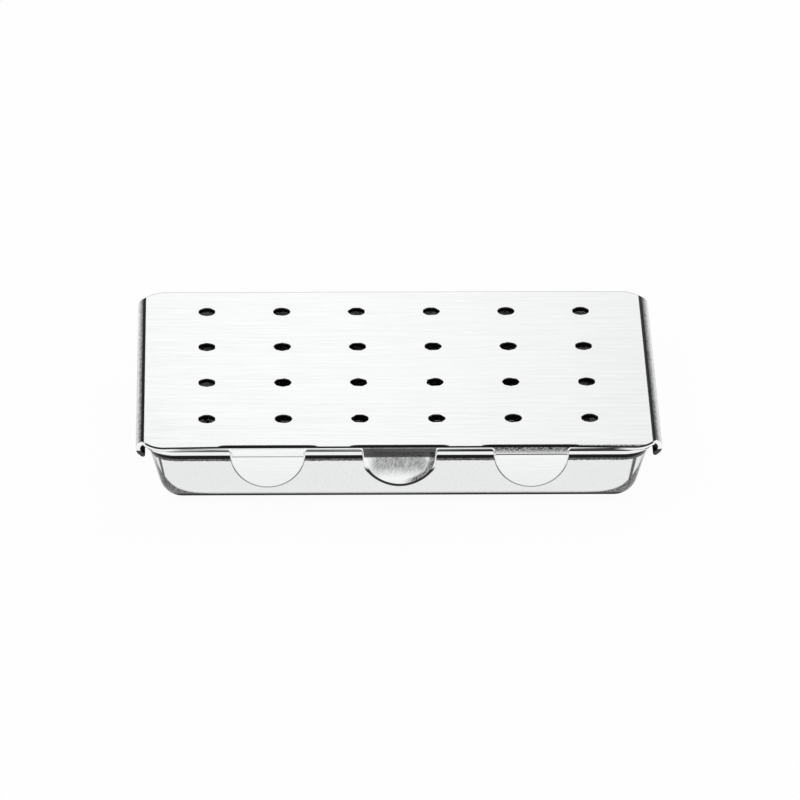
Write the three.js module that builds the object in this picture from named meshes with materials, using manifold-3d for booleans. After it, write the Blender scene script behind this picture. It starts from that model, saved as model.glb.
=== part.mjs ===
// Bur sterilization box: a drawn sheet-steel tray, a folded lid that slides off its rim, and a drop-in bur rack.
// Millimetres, +Z up. The origin is the centre of the tray's flat underside; the tongues of the lid face -Y.
import * as THREE from "three";
import { mergeVertices } from "three/addons/utils/BufferGeometryUtils.js";
import Module from "manifold-3d";

const wasm = await Module();
wasm.setup();

// Driving dimensions of the box
const lidLength = 99.3; // flat top between the side folds
const lidWidth = 65.6; // front edge to back edge
const overallHeight = 15.4; // underside of the tray to the top of the lid
const sheet = 0.9; // steel of the tray and of the lid
const cornerCut = 3.8; // the lid's corners are cut at 45 degrees from here
const cornerRound = 4.2; // plan radius between the cut corners and the long edges

// Folded sides of the lid
const slideGap = 0.4; // lid underside to the top of the rim
const gripGap = 0.3; // underside of the rim's edge to the lower lip
const sideGap = 0.3; // edge of the rim to the inside of the fold
const lipReach = 1.85; // lower lip, from the outermost point of the fold inwards
const lipGap = 0.15; // edge of the lower lip to the roll of the rim

// Steam holes
const holePitch = 15;
const holeDiameter = 3.2;
const holeMargin = 8; // least distance from the outermost holes to the edges of the lid's flat
const holeGridShift = 1.45; // the grid sits this far behind the middle of the lid

// Tongues at the front of the lid
const tongueRadius = 7.35;
const tonguePitch = 25.65;
const tongueDrop = 8.5; // top of the lid to the tip of a flat tongue
const tongueRoot = 1.2; // flat sheet behind the first crease that is made with the tongue
const creaseSetback = 1.1; // first crease of a tongue behind the front edge of the lid
const creaseRadius = 1.1; // outer radius of both creases of a tongue
const facetLength = 1.5; // flat between the two creases
const facetAngle = THREE.MathUtils.degToRad(44);
const tongueRootFillet = 0.45;
const bendRunOut = 3; // width beside a tongue in which its first crease fades
const pullShortening = 0.7; // the finger pull's blank ends this much before a flat tongue's
const pullFacetAngle = THREE.MathUtils.degToRad(38);
const pullKneeAngle = THREE.MathUtils.degToRad(86);
const pullTipAngle = THREE.MathUtils.degToRad(72);
const pullDish = 1.4; // how far the sides of the finger pull stand forward of its middle
const dishPower = 3; // the dish is flat in its middle and curls at its sides
const dishGrowthShare = 0.5; // share of the hanging part over which the dish grows to its depth

// Tray
const rimSetback = 0.75; // front and back edges of the rim behind the lid's edges
const rimCorner = 6.25; // plan radius of the rim's corners
const rimRollRadius = 1.2; // underside radius with which the wall rolls out into the rim
const leastRimFlat = 0.1; // flat left at the edge of the rim
const wallDraft = THREE.MathUtils.degToRad(15.2);
const bottomBend = 6.6; // outer radius between wall and floor
const cornerSoftness = 1.5; // keeps the plan corners rounded down to the floor

// Bur rack
const rackSheet = 0.8;
const rackPlay = 2.3; // edge of the tray's flat floor to the rack
const rackCorner = 2;
const footHeight = 1.4; // plate underside above the tray floor
const rackBend = 1.2; // outer radius of the rack's bends
const earWidth = 16;
const earTopGap = 4.2; // ears to the underside of the lid
const earRound = 6.8;
const earHole = 5;
const earHoleDrop = 4; // centre of the ear's hole below its top
const plateSlotLength = 8;
const plateSlotWidth = 4;
const plateSlotPitch = 12;
const plateSlotMargin = 10; // least distance from the outermost slots' middles to the plate's ends
const plateSlotRowPitch = 7;
const combEndInset = 3.2; // ends of the channels to the ears
const combEdgeInset = 2; // outer webs to the plate's edges
const combWidth = 10;
const combTopGap = 1.2; // webs to the lid, less than the thinnest shank
const notchPitch = 6;
const notchEndInset = 4; // least distance from the outermost notches' middles to the channel's ends
const notchDepth = 4;
const frictionGripShank = 1.6;
const latchShank = 2.35;
const notchClearance = 0.3;
const combDrainDiameter = 3;
const rivetEndInset = 5; // outermost rivets to the channel's ends
const rivetCount = 3;
const rivetShank = 1.6;
const rivetClearance = 0.1; // all round the shank
const rivetHead = 3.2;
const rivetHeadHeight = 0.7;
const rivetTail = 2.6;
const rivetTailHeight = 0.5;
const rivetTailChamfer = 0.25;

// How finely curves are stepped, and how far cutters run past what they cut
const arcSteps = 8;
const cornerSteps = 8;
const roundSteps = 16;
const smallSteps = 4;
const foldSteps = 10;
const acrossSteps = 16; // across the half-round of a tongue
const filletSteps = 2;
const fadeSteps = 3;
const bendSteps = 3; // along each crease of a tongue
const slopeSteps = 240;
const overrun = 1;
const weld = 1e-4;

// Sizes that follow
const half = (value) => value / 2;
const quarterTurn = half(Math.PI);
const lidTop = overallHeight;
const lidUnderside = lidTop - sheet;
const foldRadius = half(3 * sheet + slideGap + gripGap);
const foldHalfLength = half(lidLength) + foldRadius;
const lipEnd = foldHalfLength - lipReach;
const frontEdge = -half(lidWidth);
const creaseLine = frontEdge + creaseSetback;
const rimHalfLength = foldHalfLength - sheet - sideGap;
const rimHalfWidth = half(lidWidth) - rimSetback;
const rimTop = lidUnderside - slideGap;
const rimTopRadius = rimRollRadius + sheet;
const rollDrop = gripGap - lipGap; // the roll may come down this far at the lip's edge
const rollOverLip = Math.sqrt(rimRollRadius ** 2 - (rimRollRadius - rollDrop) ** 2);
const rimFlat = Math.max(rimHalfLength - lipEnd - rollOverLip, leastRimFlat);

// Centres of the tray's section arcs and the top of its straight wall, as [inset from the rim's edge, height]
const rollCentre = [rimFlat, rimTop - rimTopRadius];
const wallStart = [
  rollCentre[0] + rimRollRadius * Math.cos(wallDraft),
  rollCentre[1] + rimRollRadius * Math.sin(wallDraft),
];
const wallHeight = wallStart[1] - bottomBend * (1 - Math.sin(wallDraft));
const bendCentre = [
  wallStart[0] + wallHeight * Math.tan(wallDraft) + bottomBend * Math.cos(wallDraft),
  bottomBend,
];

const rackLength = 2 * (rimHalfLength - bendCentre[0] - rackPlay);
const rackWidth = 2 * (rimHalfWidth - bendCentre[0] - rackPlay);
const plateUnderside = sheet + footHeight;
const plateTop = plateUnderside + rackSheet;
const combFloor = plateTop + rackSheet;
const combTop = lidUnderside - combTopGap;
const combLength = rackLength - 2 * combEndInset;
const combSpacing = rackWidth - combWidth - 2 * combEdgeInset; // between the middles of the channels
const rivetPitch = (combLength - 2 * rivetEndInset) / (rivetCount - 1);
const earTop = lidUnderside - earTopGap;

const steel = (colour, roughness) =>
  new THREE.MeshStandardMaterial({ color: colour, roughness, metalness: 1 });
const finishes = {
  lid: steel(0xd9dadb, 0.22),
  tray: steel(0xcfd0d2, 0.2),
  rack: steel(0xc4c6c8, 0.3),
  rivet: steel(0xbabcbe, 0.35),
};

// A closed three.js geometry as a solid for joining and cutting.
function solidOf(geometry) {
  const bare = geometry.clone();
  bare.deleteAttribute("normal");
  bare.deleteAttribute("uv");
  const merged = mergeVertices(bare, weld);
  return new wasm.Manifold(
    new wasm.Mesh({
      numProp: 3,
      vertProperties: merged.attributes.position.array,
      triVerts: new Uint32Array(merged.index.array),
    }),
  );
}

// The finished solid as a named mesh.
function pieceOf(name, solid, material) {
  const mesh = solid.getMesh();
  const geometry = new THREE.BufferGeometry()
    .setAttribute("position", new THREE.BufferAttribute(mesh.vertProperties, 3))
    .setIndex(new THREE.BufferAttribute(mesh.triVerts, 1));
  geometry.computeVertexNormals();
  const piece = new THREE.Mesh(geometry, material);
  piece.name = name;
  return piece;
}

// Joins rings of points, all of one length, into a closed skin with a cap on the first and the last ring.
function ringSkin(rings, capOf) {
  const count = rings[0].length;
  const points = rings.flat();
  const triangles = [];
  for (let i = 0; i + 1 < rings.length; i++)
    for (let k = 0; k < count; k++) {
      const a = i * count + k;
      const b = i * count + ((k + 1) % count);
      triangles.push(a, a + count, b, b, a + count, b + count);
    }
  const last = (rings.length - 1) * count;
  triangles.push(...capOf(points, 0, count));
  triangles.push(...capOf(points, last, count).reverse());
  return new THREE.BufferGeometry().setFromPoints(points).setIndex(triangles);
}

// Caps a convex ring with a fan about its middle.
function fanCap(points, first, count) {
  const middle = new THREE.Vector3();
  for (let k = 0; k < count; k++) middle.add(points[first + k]);
  points.push(middle.divideScalar(count));
  const triangles = [];
  for (let k = 0; k < count; k++)
    triangles.push(points.length - 1, first + k, first + ((k + 1) % count));
  return triangles;
}

// Caps a long thin ring, out along one side and back along the other, with a strip.
function stripCap(points, first, count) {
  const triangles = [];
  for (let k = 0; k + 1 < half(count); k++) {
    const near = first + k;
    const far = first + count - 1 - k;
    triangles.push(near, near + 1, far, near + 1, far - 1, far);
  }
  return triangles;
}

// A rounded rectangle about the origin.
function roundedRectangle(length, width, radius) {
  const path = new THREE.Shape();
  const x = half(length);
  const y = half(width);
  path.absarc(x - radius, radius - y, radius, -quarterTurn, 0);
  path.absarc(x - radius, y - radius, radius, 0, quarterTurn);
  path.absarc(radius - x, y - radius, radius, quarterTurn, Math.PI);
  path.absarc(radius - x, radius - y, radius, Math.PI, -quarterTurn);
  path.closePath();
  return path;
}

// A shape drawn out along Z. An arc has twice curveSegments steps, so half of the steps are asked for.
function extruded(shape, depth, steps = arcSteps) {
  const curveSegments = half(steps);
  return new THREE.ExtrudeGeometry(shape, { depth, bevelEnabled: false, curveSegments });
}

// Turns a section drawn in (Y, Z) and drawn out along Z so that it runs along X.
const sectionOntoX = new THREE.Matrix4().makeBasis(
  new THREE.Vector3(0, 1, 0),
  new THREE.Vector3(0, 0, 1),
  new THREE.Vector3(1, 0, 0),
);

// A section drawn in (Y, Z) and run along X, centred on x = 0.
function alongX(shape, length) {
  const geometry = extruded(shape, length, smallSteps).applyMatrix4(sectionOntoX);
  return solidOf(geometry.translate(-half(length), 0, 0));
}

// A section drawn in (X, Z) and run along Y, centred on the given y.
function alongY(shape, length, y = 0, steps = smallSteps) {
  const geometry = extruded(shape, length, steps).rotateX(quarterTurn);
  return solidOf(geometry.translate(0, y + half(length), 0));
}

// An outline drawn in (X, Y) between two heights.
function upright(shape, bottom, top, steps = arcSteps) {
  return solidOf(extruded(shape, top - bottom, steps).translate(0, 0, bottom));
}

// A round post between two heights, as a cutter for holes.
function postAt(diameter, bottom, top, x, y) {
  const radius = half(diameter);
  const post = new THREE.CylinderGeometry(radius, radius, top - bottom, roundSteps);
  return solidOf(post.rotateX(quarterTurn).translate(x, y, half(top + bottom)));
}

// Evenly spaced places about zero.
function spread(count, pitch) {
  return Array.from({ length: count }, (_, i) => (i - half(count - 1)) * pitch);
}

// As many places about zero as a run of the given length takes, with a margin at both ends.
function fill(length, margin, pitch) {
  return spread(1 + Math.floor((length - 2 * margin) / pitch), pitch);
}

// Tray

// The plan radius of the tray at an inset from its rim: it shrinks with the inset and stays a little round.
function trayCorner(inset) {
  const left = rimCorner - inset;
  return half(left + Math.hypot(left, 2 * cornerSoftness));
}

function trayRing(inset, height) {
  const x = rimHalfLength - inset;
  const y = rimHalfWidth - inset;
  const radius = trayCorner(inset);
  const ring = [];
  for (let quarter = 0; quarter < 4; quarter++) {
    const side = [1, -1, -1, 1][quarter];
    const end = [1, 1, -1, -1][quarter];
    for (let k = 0; k <= cornerSteps; k++) {
      const angle = (quarter + k / cornerSteps) * quarterTurn;
      ring.push(
        new THREE.Vector3(
          side * (x - radius) + radius * Math.cos(angle),
          end * (y - radius) + radius * Math.sin(angle),
          height,
        ),
      );
    }
  }
  return ring;
}

// Points of an arc in the tray's section, as [inset, height].
function sectionArc(centre, radius, from, to) {
  return Array.from({ length: arcSteps + 1 }, (_, k) => {
    const angle = from + ((to - from) * k) / arcSteps;
    return [centre[0] + radius * Math.cos(angle), centre[1] + radius * Math.sin(angle)];
  });
}

function makeTray() {
  const wallSide = wallDraft - Math.PI;
  const section = [
    ...sectionArc(bendCentre, bottomBend - sheet, -quarterTurn, wallSide),
    ...sectionArc(rollCentre, rimTopRadius, wallDraft, quarterTurn),
    [0, rimTop],
    [0, rimTop - sheet],
    ...sectionArc(rollCentre, rimRollRadius, quarterTurn, wallDraft),
    ...sectionArc(bendCentre, bottomBend, wallSide, -quarterTurn),
  ];
  const rings = section.map(([inset, height]) => trayRing(inset, height));
  return pieceOf("tray", solidOf(ringSkin(rings, fanCap)), finishes.tray);
}

// Lid

// The lid's folded section in (X, Z): flat top, half-round folds, and lips that reach back under the rim.
function lidSection() {
  const bendX = half(lidLength);
  const bendZ = lidTop - foldRadius;
  const innerRadius = foldRadius - sheet;
  const shape = new THREE.Shape();
  shape.moveTo(-lipEnd, bendZ - foldRadius);
  shape.absarc(-bendX, bendZ, foldRadius, -quarterTurn, quarterTurn, true);
  shape.absarc(bendX, bendZ, foldRadius, quarterTurn, -quarterTurn, true);
  shape.lineTo(lipEnd, bendZ - foldRadius);
  shape.lineTo(lipEnd, bendZ - innerRadius);
  shape.absarc(bendX, bendZ, innerRadius, -quarterTurn, quarterTurn);
  shape.absarc(-bendX, bendZ, innerRadius, quarterTurn, -quarterTurn);
  shape.lineTo(-lipEnd, bendZ - innerRadius);
  shape.closePath();
  return shape;
}

const creaseDown =
  creaseRadius * (1 - Math.cos(facetAngle)) +
  facetLength * Math.sin(facetAngle) +
  creaseRadius * Math.cos(facetAngle);

// Lengths along the outer face of a flat tongue, from the first crease to its tip.
const firstCrease = creaseRadius * facetAngle;
const secondCrease = creaseRadius * (quarterTurn - facetAngle);
const kneeStart = firstCrease + facetLength;
const kneeEnd = kneeStart + secondCrease;
const tongueRun = kneeEnd + tongueDrop - creaseDown;

// The tongues' forms: the slope of the facet, after the second crease and at the tip, the dish and the blank's run.
const flatTongue = {
  facet: facetAngle,
  knee: quarterTurn,
  tip: quarterTurn,
  dish: 0,
  run: tongueRun,
};
const fingerPull = {
  facet: pullFacetAngle,
  knee: pullKneeAngle,
  tip: pullTipAngle,
  dish: pullDish,
  run: tongueRun - pullShortening,
};

// How far forward of the first crease the blank reaches at a distance from the tongue's middle.
function blankReach(offset, form) {
  const away = Math.abs(offset);
  if (away <= tongueRadius)
    return form.run - tongueRadius + Math.sqrt(tongueRadius ** 2 - away ** 2);
  const fillet = Math.max(tongueRadius + tongueRootFillet - away, 0);
  const round = tongueRootFillet - Math.sqrt(tongueRootFillet ** 2 - fillet ** 2);
  return creaseSetback + round;
}

// The slope of the tongue's outer face at a run from its first crease: 0 is level, a quarter turn hangs down.
function tongueSlope(run, form) {
  const { facet, knee, tip } = form;
  if (run <= 0) return 0;
  if (run < firstCrease) return (facet * run) / firstCrease;
  if (run < kneeStart) return facet;
  if (run < kneeEnd)
    return facet + ((knee - facet) * (run - kneeStart)) / (kneeEnd - kneeStart);
  return knee + ((tip - knee) * (run - kneeEnd)) / (form.run - kneeEnd);
}

// The outer face in (forward, down), found by stepping along the slope; fade turns the bend off beside the tongue.
function tongueFace(run, form, fade) {
  let forward = 0;
  let down = 0;
  const step = run / slopeSteps;
  for (let i = 0; i < slopeSteps; i++) {
    const slope = fade * tongueSlope((i + half(1)) * step, form);
    forward += step * Math.cos(slope);
    down += step * Math.sin(slope);
  }
  return { forward, down, slope: fade * tongueSlope(run, form) };
}

// Places across a tongue's blank from its +X side to its -X side, close together where its outline turns.
function tongueColumns() {
  const columns = [];
  for (let i = 0; i <= acrossSteps; i++)
    columns.push(tongueRadius * Math.sin((1 - (2 * i) / acrossSteps) * quarterTurn));
  const outer = [];
  for (let i = 1; i <= filletSteps; i++) {
    const turn = (i / filletSteps) * quarterTurn;
    outer.push(tongueRadius + tongueRootFillet * (1 - Math.cos(turn)));
  }
  const fadeWidth = bendRunOut - tongueRootFillet;
  for (let i = 1; i <= fadeSteps; i++)
    outer.push(tongueRadius + tongueRootFillet + (fadeWidth * i) / fadeSteps);
  return [...outer.toReversed(), ...columns, ...outer.map((x) => -x)];
}

// Rows along the blank of one column: flat root, creases and facet, then the hanging part.
function tongueRows(reach) {
  const rows = [-tongueRoot];
  if (reach > kneeEnd) {
    for (let i = 0; i <= bendSteps; i++) rows.push((firstCrease * i) / bendSteps);
    for (let i = 0; i <= bendSteps; i++)
      rows.push(kneeStart + ((kneeEnd - kneeStart) * i) / bendSteps);
    for (let i = 1; i <= bendSteps; i++)
      rows.push(kneeEnd + ((reach - kneeEnd) * i) / bendSteps);
    return rows;
  }
  const rest = 3 * bendSteps + 1;
  for (let i = 0; i <= rest; i++) rows.push((reach * i) / rest);
  return rows;
}

// How far a place on a tongue stands forward of the tongue's middle.
function dishAt(offset, run, form) {
  const hang = THREE.MathUtils.clamp((run - kneeStart) / (form.run - kneeStart), 0, 1);
  const growth = Math.min(hang / dishGrowthShare, 1);
  const share = Math.min(Math.abs(offset) / tongueRadius, 1);
  return form.dish * share ** dishPower * growth;
}

// One tongue with the flat sheet around its root. Each column across it is a closed ring of outer face, cut edge
// and inner face.
function tongueSolid(middle, form) {
  const columns = tongueColumns().map((offset) => {
    const outer = [];
    const inner = [];
    const away = Math.abs(offset);
    const fade = 1 - THREE.MathUtils.smoothstep(away, tongueRadius, tongueRadius + bendRunOut);
    for (const run of tongueRows(blankReach(offset, form))) {
      const face =
        run <= 0 ? { forward: run, down: 0, slope: 0 } : tongueFace(run, form, fade);
      const x = middle + offset;
      const y = creaseLine - face.forward - dishAt(offset, run, form);
      const z = lidTop - face.down;
      const back = sheet * Math.sin(face.slope);
      outer.push(new THREE.Vector3(x, y, z));
      inner.push(new THREE.Vector3(x, y + back, z - sheet * Math.cos(face.slope)));
    }
    return { outer, inner };
  });
  const rings = columns.map(({ outer, inner }) => [...outer, ...inner.toReversed()]);
  return solidOf(ringSkin(rings, stripCap));
}

// The lid's plan outline: corners cut at 45 degrees, with a round between each cut and the long edge beside it.
function lidOutline() {
  const cutStart = foldHalfLength - cornerCut - cornerRound * Math.tan(quarterTurn / 4);
  const side = half(lidWidth) - cornerCut;
  const roundY = half(lidWidth) - cornerRound;
  const turn = half(quarterTurn);
  const shape = new THREE.Shape();
  shape.moveTo(foldHalfLength, -side);
  shape.lineTo(foldHalfLength, side);
  shape.absarc(cutStart, roundY, cornerRound, turn, quarterTurn);
  shape.absarc(-cutStart, roundY, cornerRound, quarterTurn, 3 * turn);
  shape.lineTo(-foldHalfLength, side);
  shape.lineTo(-foldHalfLength, -side);
  shape.absarc(-cutStart, -roundY, cornerRound, -3 * turn, -quarterTurn);
  shape.absarc(cutStart, -roundY, cornerRound, -quarterTurn, -turn);
  shape.closePath();
  return shape;
}

function makeLid() {
  const above = lidTop + overrun;
  const below = lidUnderside - overrun;
    let lid = alongY(lidSection(), lidWidth, 0, foldSteps);
  lid = lid.intersect(upright(lidOutline(), 0, above, cornerSteps));
  const pocketHalf = tongueRadius + bendRunOut - half(weld);
  const pocketBack = creaseLine + half(tongueRoot);
  for (const i of [-1, 0, 1]) {
    const middle = i * tonguePitch;
    const pocket = new THREE.Shape();
    pocket.moveTo(middle - pocketHalf, frontEdge - overrun);
    pocket.lineTo(middle + pocketHalf, frontEdge - overrun);
    pocket.lineTo(middle + pocketHalf, pocketBack);
    pocket.lineTo(middle - pocketHalf, pocketBack);
    pocket.closePath();
    const form = i === 0 ? fingerPull : flatTongue;
    lid = lid.subtract(upright(pocket, below, above)).add(tongueSolid(middle, form));
  }
  for (const x of fill(lidLength, holeMargin, holePitch))
    for (const y of fill(lidWidth, holeMargin, holePitch))
      lid = lid.subtract(postAt(holeDiameter, below, above, x, y + holeGridShift));
  return pieceOf("lid", lid, finishes.lid);
}

// Bur rack

// A U or inverted U section in (Y, Z): a web of the given width with both edges turned through round bends.
function channelSection(middle, width, webFace, edge) {
  const up = Math.sign(edge - webFace);
  const inner = rackBend - rackSheet;
  const y = half(width);
  const bendY = y - rackBend;
  const bendZ = webFace + up * rackBend;
  const turn = up > 0;
  const side = up * quarterTurn;
  const shape = new THREE.Shape();
  shape.moveTo(middle - y, edge);
  shape.absarc(middle - bendY, bendZ, rackBend, Math.PI, -side, !turn);
  shape.absarc(middle + bendY, bendZ, rackBend, -side, 0, !turn);
  shape.lineTo(middle + y, edge);
  shape.lineTo(middle + y - rackSheet, edge);
  shape.absarc(middle + bendY, bendZ, inner, 0, -side, turn);
  shape.absarc(middle - bendY, bendZ, inner, -side, Math.PI, turn);
  shape.lineTo(middle - y + rackSheet, edge);
  shape.closePath();
  return shape;
}

// A slot with round ends, along X through the plate.
function plateSlot(x, y) {
  const slot = roundedRectangle(plateSlotLength, plateSlotWidth, half(plateSlotWidth));
  const depth = rackSheet + 2 * overrun;
  const cutter = extruded(slot, depth, smallSteps);
  return solidOf(cutter.translate(x, y, plateUnderside - overrun));
}

// A turned-up lifting ear at one end of the plate.
function liftingEar(end) {
  const face = half(rackLength);
  const bendX = face - rackBend;
  const bendZ = plateUnderside + rackBend;
  const section = new THREE.Shape();
  section.moveTo(bendX - rackBend, plateUnderside);
  section.absarc(bendX, bendZ, rackBend, -quarterTurn, 0);
  section.lineTo(face, earTop);
  section.lineTo(face - rackSheet, earTop);
  section.absarc(bendX, bendZ, rackBend - rackSheet, 0, -quarterTurn, true);
  section.lineTo(bendX - rackBend, plateTop);
  section.closePath();
  const side = half(earWidth);
  const roundX = side - earRound;
  const roundZ = earTop - earRound;
  const bottom = Math.min(plateUnderside, roundZ) - overrun;
  const outline = new THREE.Shape();
  outline.moveTo(-side, bottom);
  outline.lineTo(side, bottom);
  outline.absarc(roundX, roundZ, earRound, 0, quarterTurn);
  outline.absarc(-roundX, roundZ, earRound, quarterTurn, Math.PI);
  outline.closePath();
  const hole = new THREE.Path();
  hole.absarc(0, earTop - earHoleDrop, half(earHole), 0, 2 * Math.PI);
  outline.holes.push(hole);
  const turn = end > 0 ? 0 : Math.PI;
  const bent = extruded(section, earWidth, smallSteps).rotateX(quarterTurn);
  const trim = extruded(outline, rackLength).applyMatrix4(sectionOntoX);
  return solidOf(bent.translate(0, half(earWidth), 0).rotateZ(turn)).intersect(
    solidOf(trim.rotateZ(turn)),
  );
}

function makeRackPlate() {
  const flatLength = rackLength - 2 * rackBend;
  const outline = roundedRectangle(flatLength, rackWidth, rackCorner);
  let plate = alongX(channelSection(0, rackWidth, plateTop, sheet), flatLength);
  plate = plate.intersect(upright(outline, 0, lidTop, smallSteps));
  for (const end of [-1, 1]) plate = plate.add(liftingEar(end));
  for (const x of fill(rackLength, plateSlotMargin, plateSlotPitch))
    for (const y of spread(2, plateSlotRowPitch)) plate = plate.subtract(plateSlot(x, y));
  for (const y of spread(2, combSpacing))
    for (const cutter of combHoles(y)) plate = plate.subtract(cutter);
  return pieceOf("rack_plate", plate, finishes.rack);
}

// Rivet holes, and drain holes between them, through a channel and the plate under it.
function combHoles(y) {
  const bottom = plateUnderside - overrun;
  const top = combFloor + overrun;
  const rivetHole = rivetShank + 2 * rivetClearance;
  return [
    ...spread(rivetCount, rivetPitch).map((x) => postAt(rivetHole, bottom, top, x, y)),
    ...spread(rivetCount - 1, rivetPitch).map((x) =>
      postAt(combDrainDiameter, bottom, top, x, y),
    ),
  ];
}

// A channel whose two webs are notched to hold a row of burs by their shanks.
function makeCombChannel(name, y, shank) {
  const notchRadius = half(shank + notchClearance);
  const notchBottom = combTop - notchDepth + notchRadius;
  let comb = alongX(channelSection(y, combWidth, plateTop, combTop), combLength);
  for (const x of fill(combLength, notchEndInset, notchPitch)) {
    const notch = new THREE.Shape();
    notch.moveTo(x - notchRadius, combTop + overrun);
    notch.absarc(x, notchBottom, notchRadius, Math.PI, 0);
    notch.lineTo(x + notchRadius, combTop + overrun);
    notch.closePath();
    comb = comb.subtract(alongY(notch, combWidth + overrun, y));
  }
  for (const cutter of combHoles(y)) comb = comb.subtract(cutter);
  return pieceOf(name, comb, finishes.rack);
}

// A rivet with a domed head on the channel and a flattened tail under the plate.
function makeRivet(name, x, y) {
  const grip = 2 * rackSheet;
  const outline = [
    new THREE.Vector2(0, -rivetTailHeight),
    new THREE.Vector2(half(rivetTail) - rivetTailChamfer, -rivetTailHeight),
    new THREE.Vector2(half(rivetTail), rivetTailChamfer - rivetTailHeight),
    new THREE.Vector2(half(rivetTail), 0),
    new THREE.Vector2(half(rivetShank), 0),
    new THREE.Vector2(half(rivetShank), grip),
  ];
  const domeRadius = (half(rivetHead) ** 2 + rivetHeadHeight ** 2) / (2 * rivetHeadHeight);
  const domeSpan = Math.asin(half(rivetHead) / domeRadius);
  for (let k = 0; k <= smallSteps; k++) {
    const angle = domeSpan * (1 - k / smallSteps);
    const height = grip + rivetHeadHeight - domeRadius * (1 - Math.cos(angle));
    outline.push(new THREE.Vector2(domeRadius * Math.sin(angle), height));
  }
  const body = new THREE.LatheGeometry(outline, roundSteps).rotateX(quarterTurn);
  const rivet = pieceOf(name, solidOf(body), finishes.rivet);
  rivet.position.set(x, y, plateUnderside);
  return rivet;
}

function makeRack() {
  const rack = new THREE.Group();
  rack.add(makeRackPlate());
  const rows = [
    { place: "front", y: -half(combSpacing), shank: frictionGripShank },
    { place: "rear", y: half(combSpacing), shank: latchShank },
  ];
  for (const { place, y, shank } of rows) {
    rack.add(makeCombChannel("comb_channel_" + place, y, shank));
    spread(rivetCount, rivetPitch).forEach((x, i) =>
      rack.add(makeRivet("comb_rivet_" + place + "_" + (i + 1), x, y)),
    );
  }
  return rack;
}

const box = new THREE.Group();
box.add(makeTray(), makeLid(), makeRack());

export default box;
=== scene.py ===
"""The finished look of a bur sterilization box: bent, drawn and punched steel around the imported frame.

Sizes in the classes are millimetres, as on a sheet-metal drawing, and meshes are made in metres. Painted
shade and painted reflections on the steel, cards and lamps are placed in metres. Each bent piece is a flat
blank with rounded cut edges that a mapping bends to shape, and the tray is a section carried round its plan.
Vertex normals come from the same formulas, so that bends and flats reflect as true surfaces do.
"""

from __future__ import annotations

import logging
import math
from collections.abc import Callable, Sequence
from dataclasses import dataclass, field
from enum import Enum

import bpy
import numpy as np
from mathutils import Matrix, Vector
from mathutils.geometry import delaunay_2d_cdt


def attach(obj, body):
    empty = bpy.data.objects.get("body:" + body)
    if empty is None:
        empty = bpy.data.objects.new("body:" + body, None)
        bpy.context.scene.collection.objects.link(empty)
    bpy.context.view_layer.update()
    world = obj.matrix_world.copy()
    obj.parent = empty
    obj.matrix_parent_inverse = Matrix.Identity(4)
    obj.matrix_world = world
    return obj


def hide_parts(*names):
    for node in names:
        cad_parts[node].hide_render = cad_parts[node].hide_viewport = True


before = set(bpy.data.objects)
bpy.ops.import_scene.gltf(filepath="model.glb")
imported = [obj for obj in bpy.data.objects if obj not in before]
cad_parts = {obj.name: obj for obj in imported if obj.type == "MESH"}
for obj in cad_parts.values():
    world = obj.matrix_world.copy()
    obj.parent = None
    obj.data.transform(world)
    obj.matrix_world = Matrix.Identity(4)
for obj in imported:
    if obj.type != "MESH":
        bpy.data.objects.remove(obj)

log = logging.getLogger("bur_box")

MM = 0.001
QUARTER_TURN = math.pi / 2
EIGHTH_TURN = math.pi / 4
HALF_TURN = 180.0  # in degrees
NUDGE = 1e-3  # step of the numerical derivatives, in millimetres
NEAREST = 0.06  # least distance between neighbouring points of an outline, in millimetres
SAME_PLACE = 1e-6  # distance within which the triangulation takes two points for one
CENTRED = 1e-9  # a triangle whose middle is this close to a hole's middle fills the hole
LATTICE_MARGIN = 2.2  # gap between lattice and boundary, in radii of the rounded edge
STRAIGHT = 1e-7  # turns below this count as none
WHITE = (1.0, 1.0, 1.0, 1.0)
CARD_FACE = [(0, 1, 2, 3)]


# Outlines and closed meshes


def arc(centre: Sequence[float], radius: float, start: float, end: float, steps: int) -> np.ndarray:
    """Points of an arc.

    Args:
        centre: Middle of the arc.
        radius: Its radius.
        start: First angle, in radians.
        end: Last angle, in radians.
        steps: Number of equal steps between them.

    Returns:
        An array of steps + 1 points.
    """
    angles = np.linspace(start, end, steps + 1)
    return np.column_stack([centre[0] + radius * np.cos(angles), centre[1] + radius * np.sin(angles)])


def circle(x: float, y: float, diameter: float, steps: int = 32) -> np.ndarray:
    """A hole's outline, run clockwise so that its outward side is the void.

    Args:
        x: Middle of the hole.
        y: Middle of the hole.
        diameter: Its diameter.
        steps: Number of points.

    Returns:
        The points of the hole.
    """
    return arc((x, y), diameter / 2, 0, -2 * math.pi, steps)[:-1]


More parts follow.
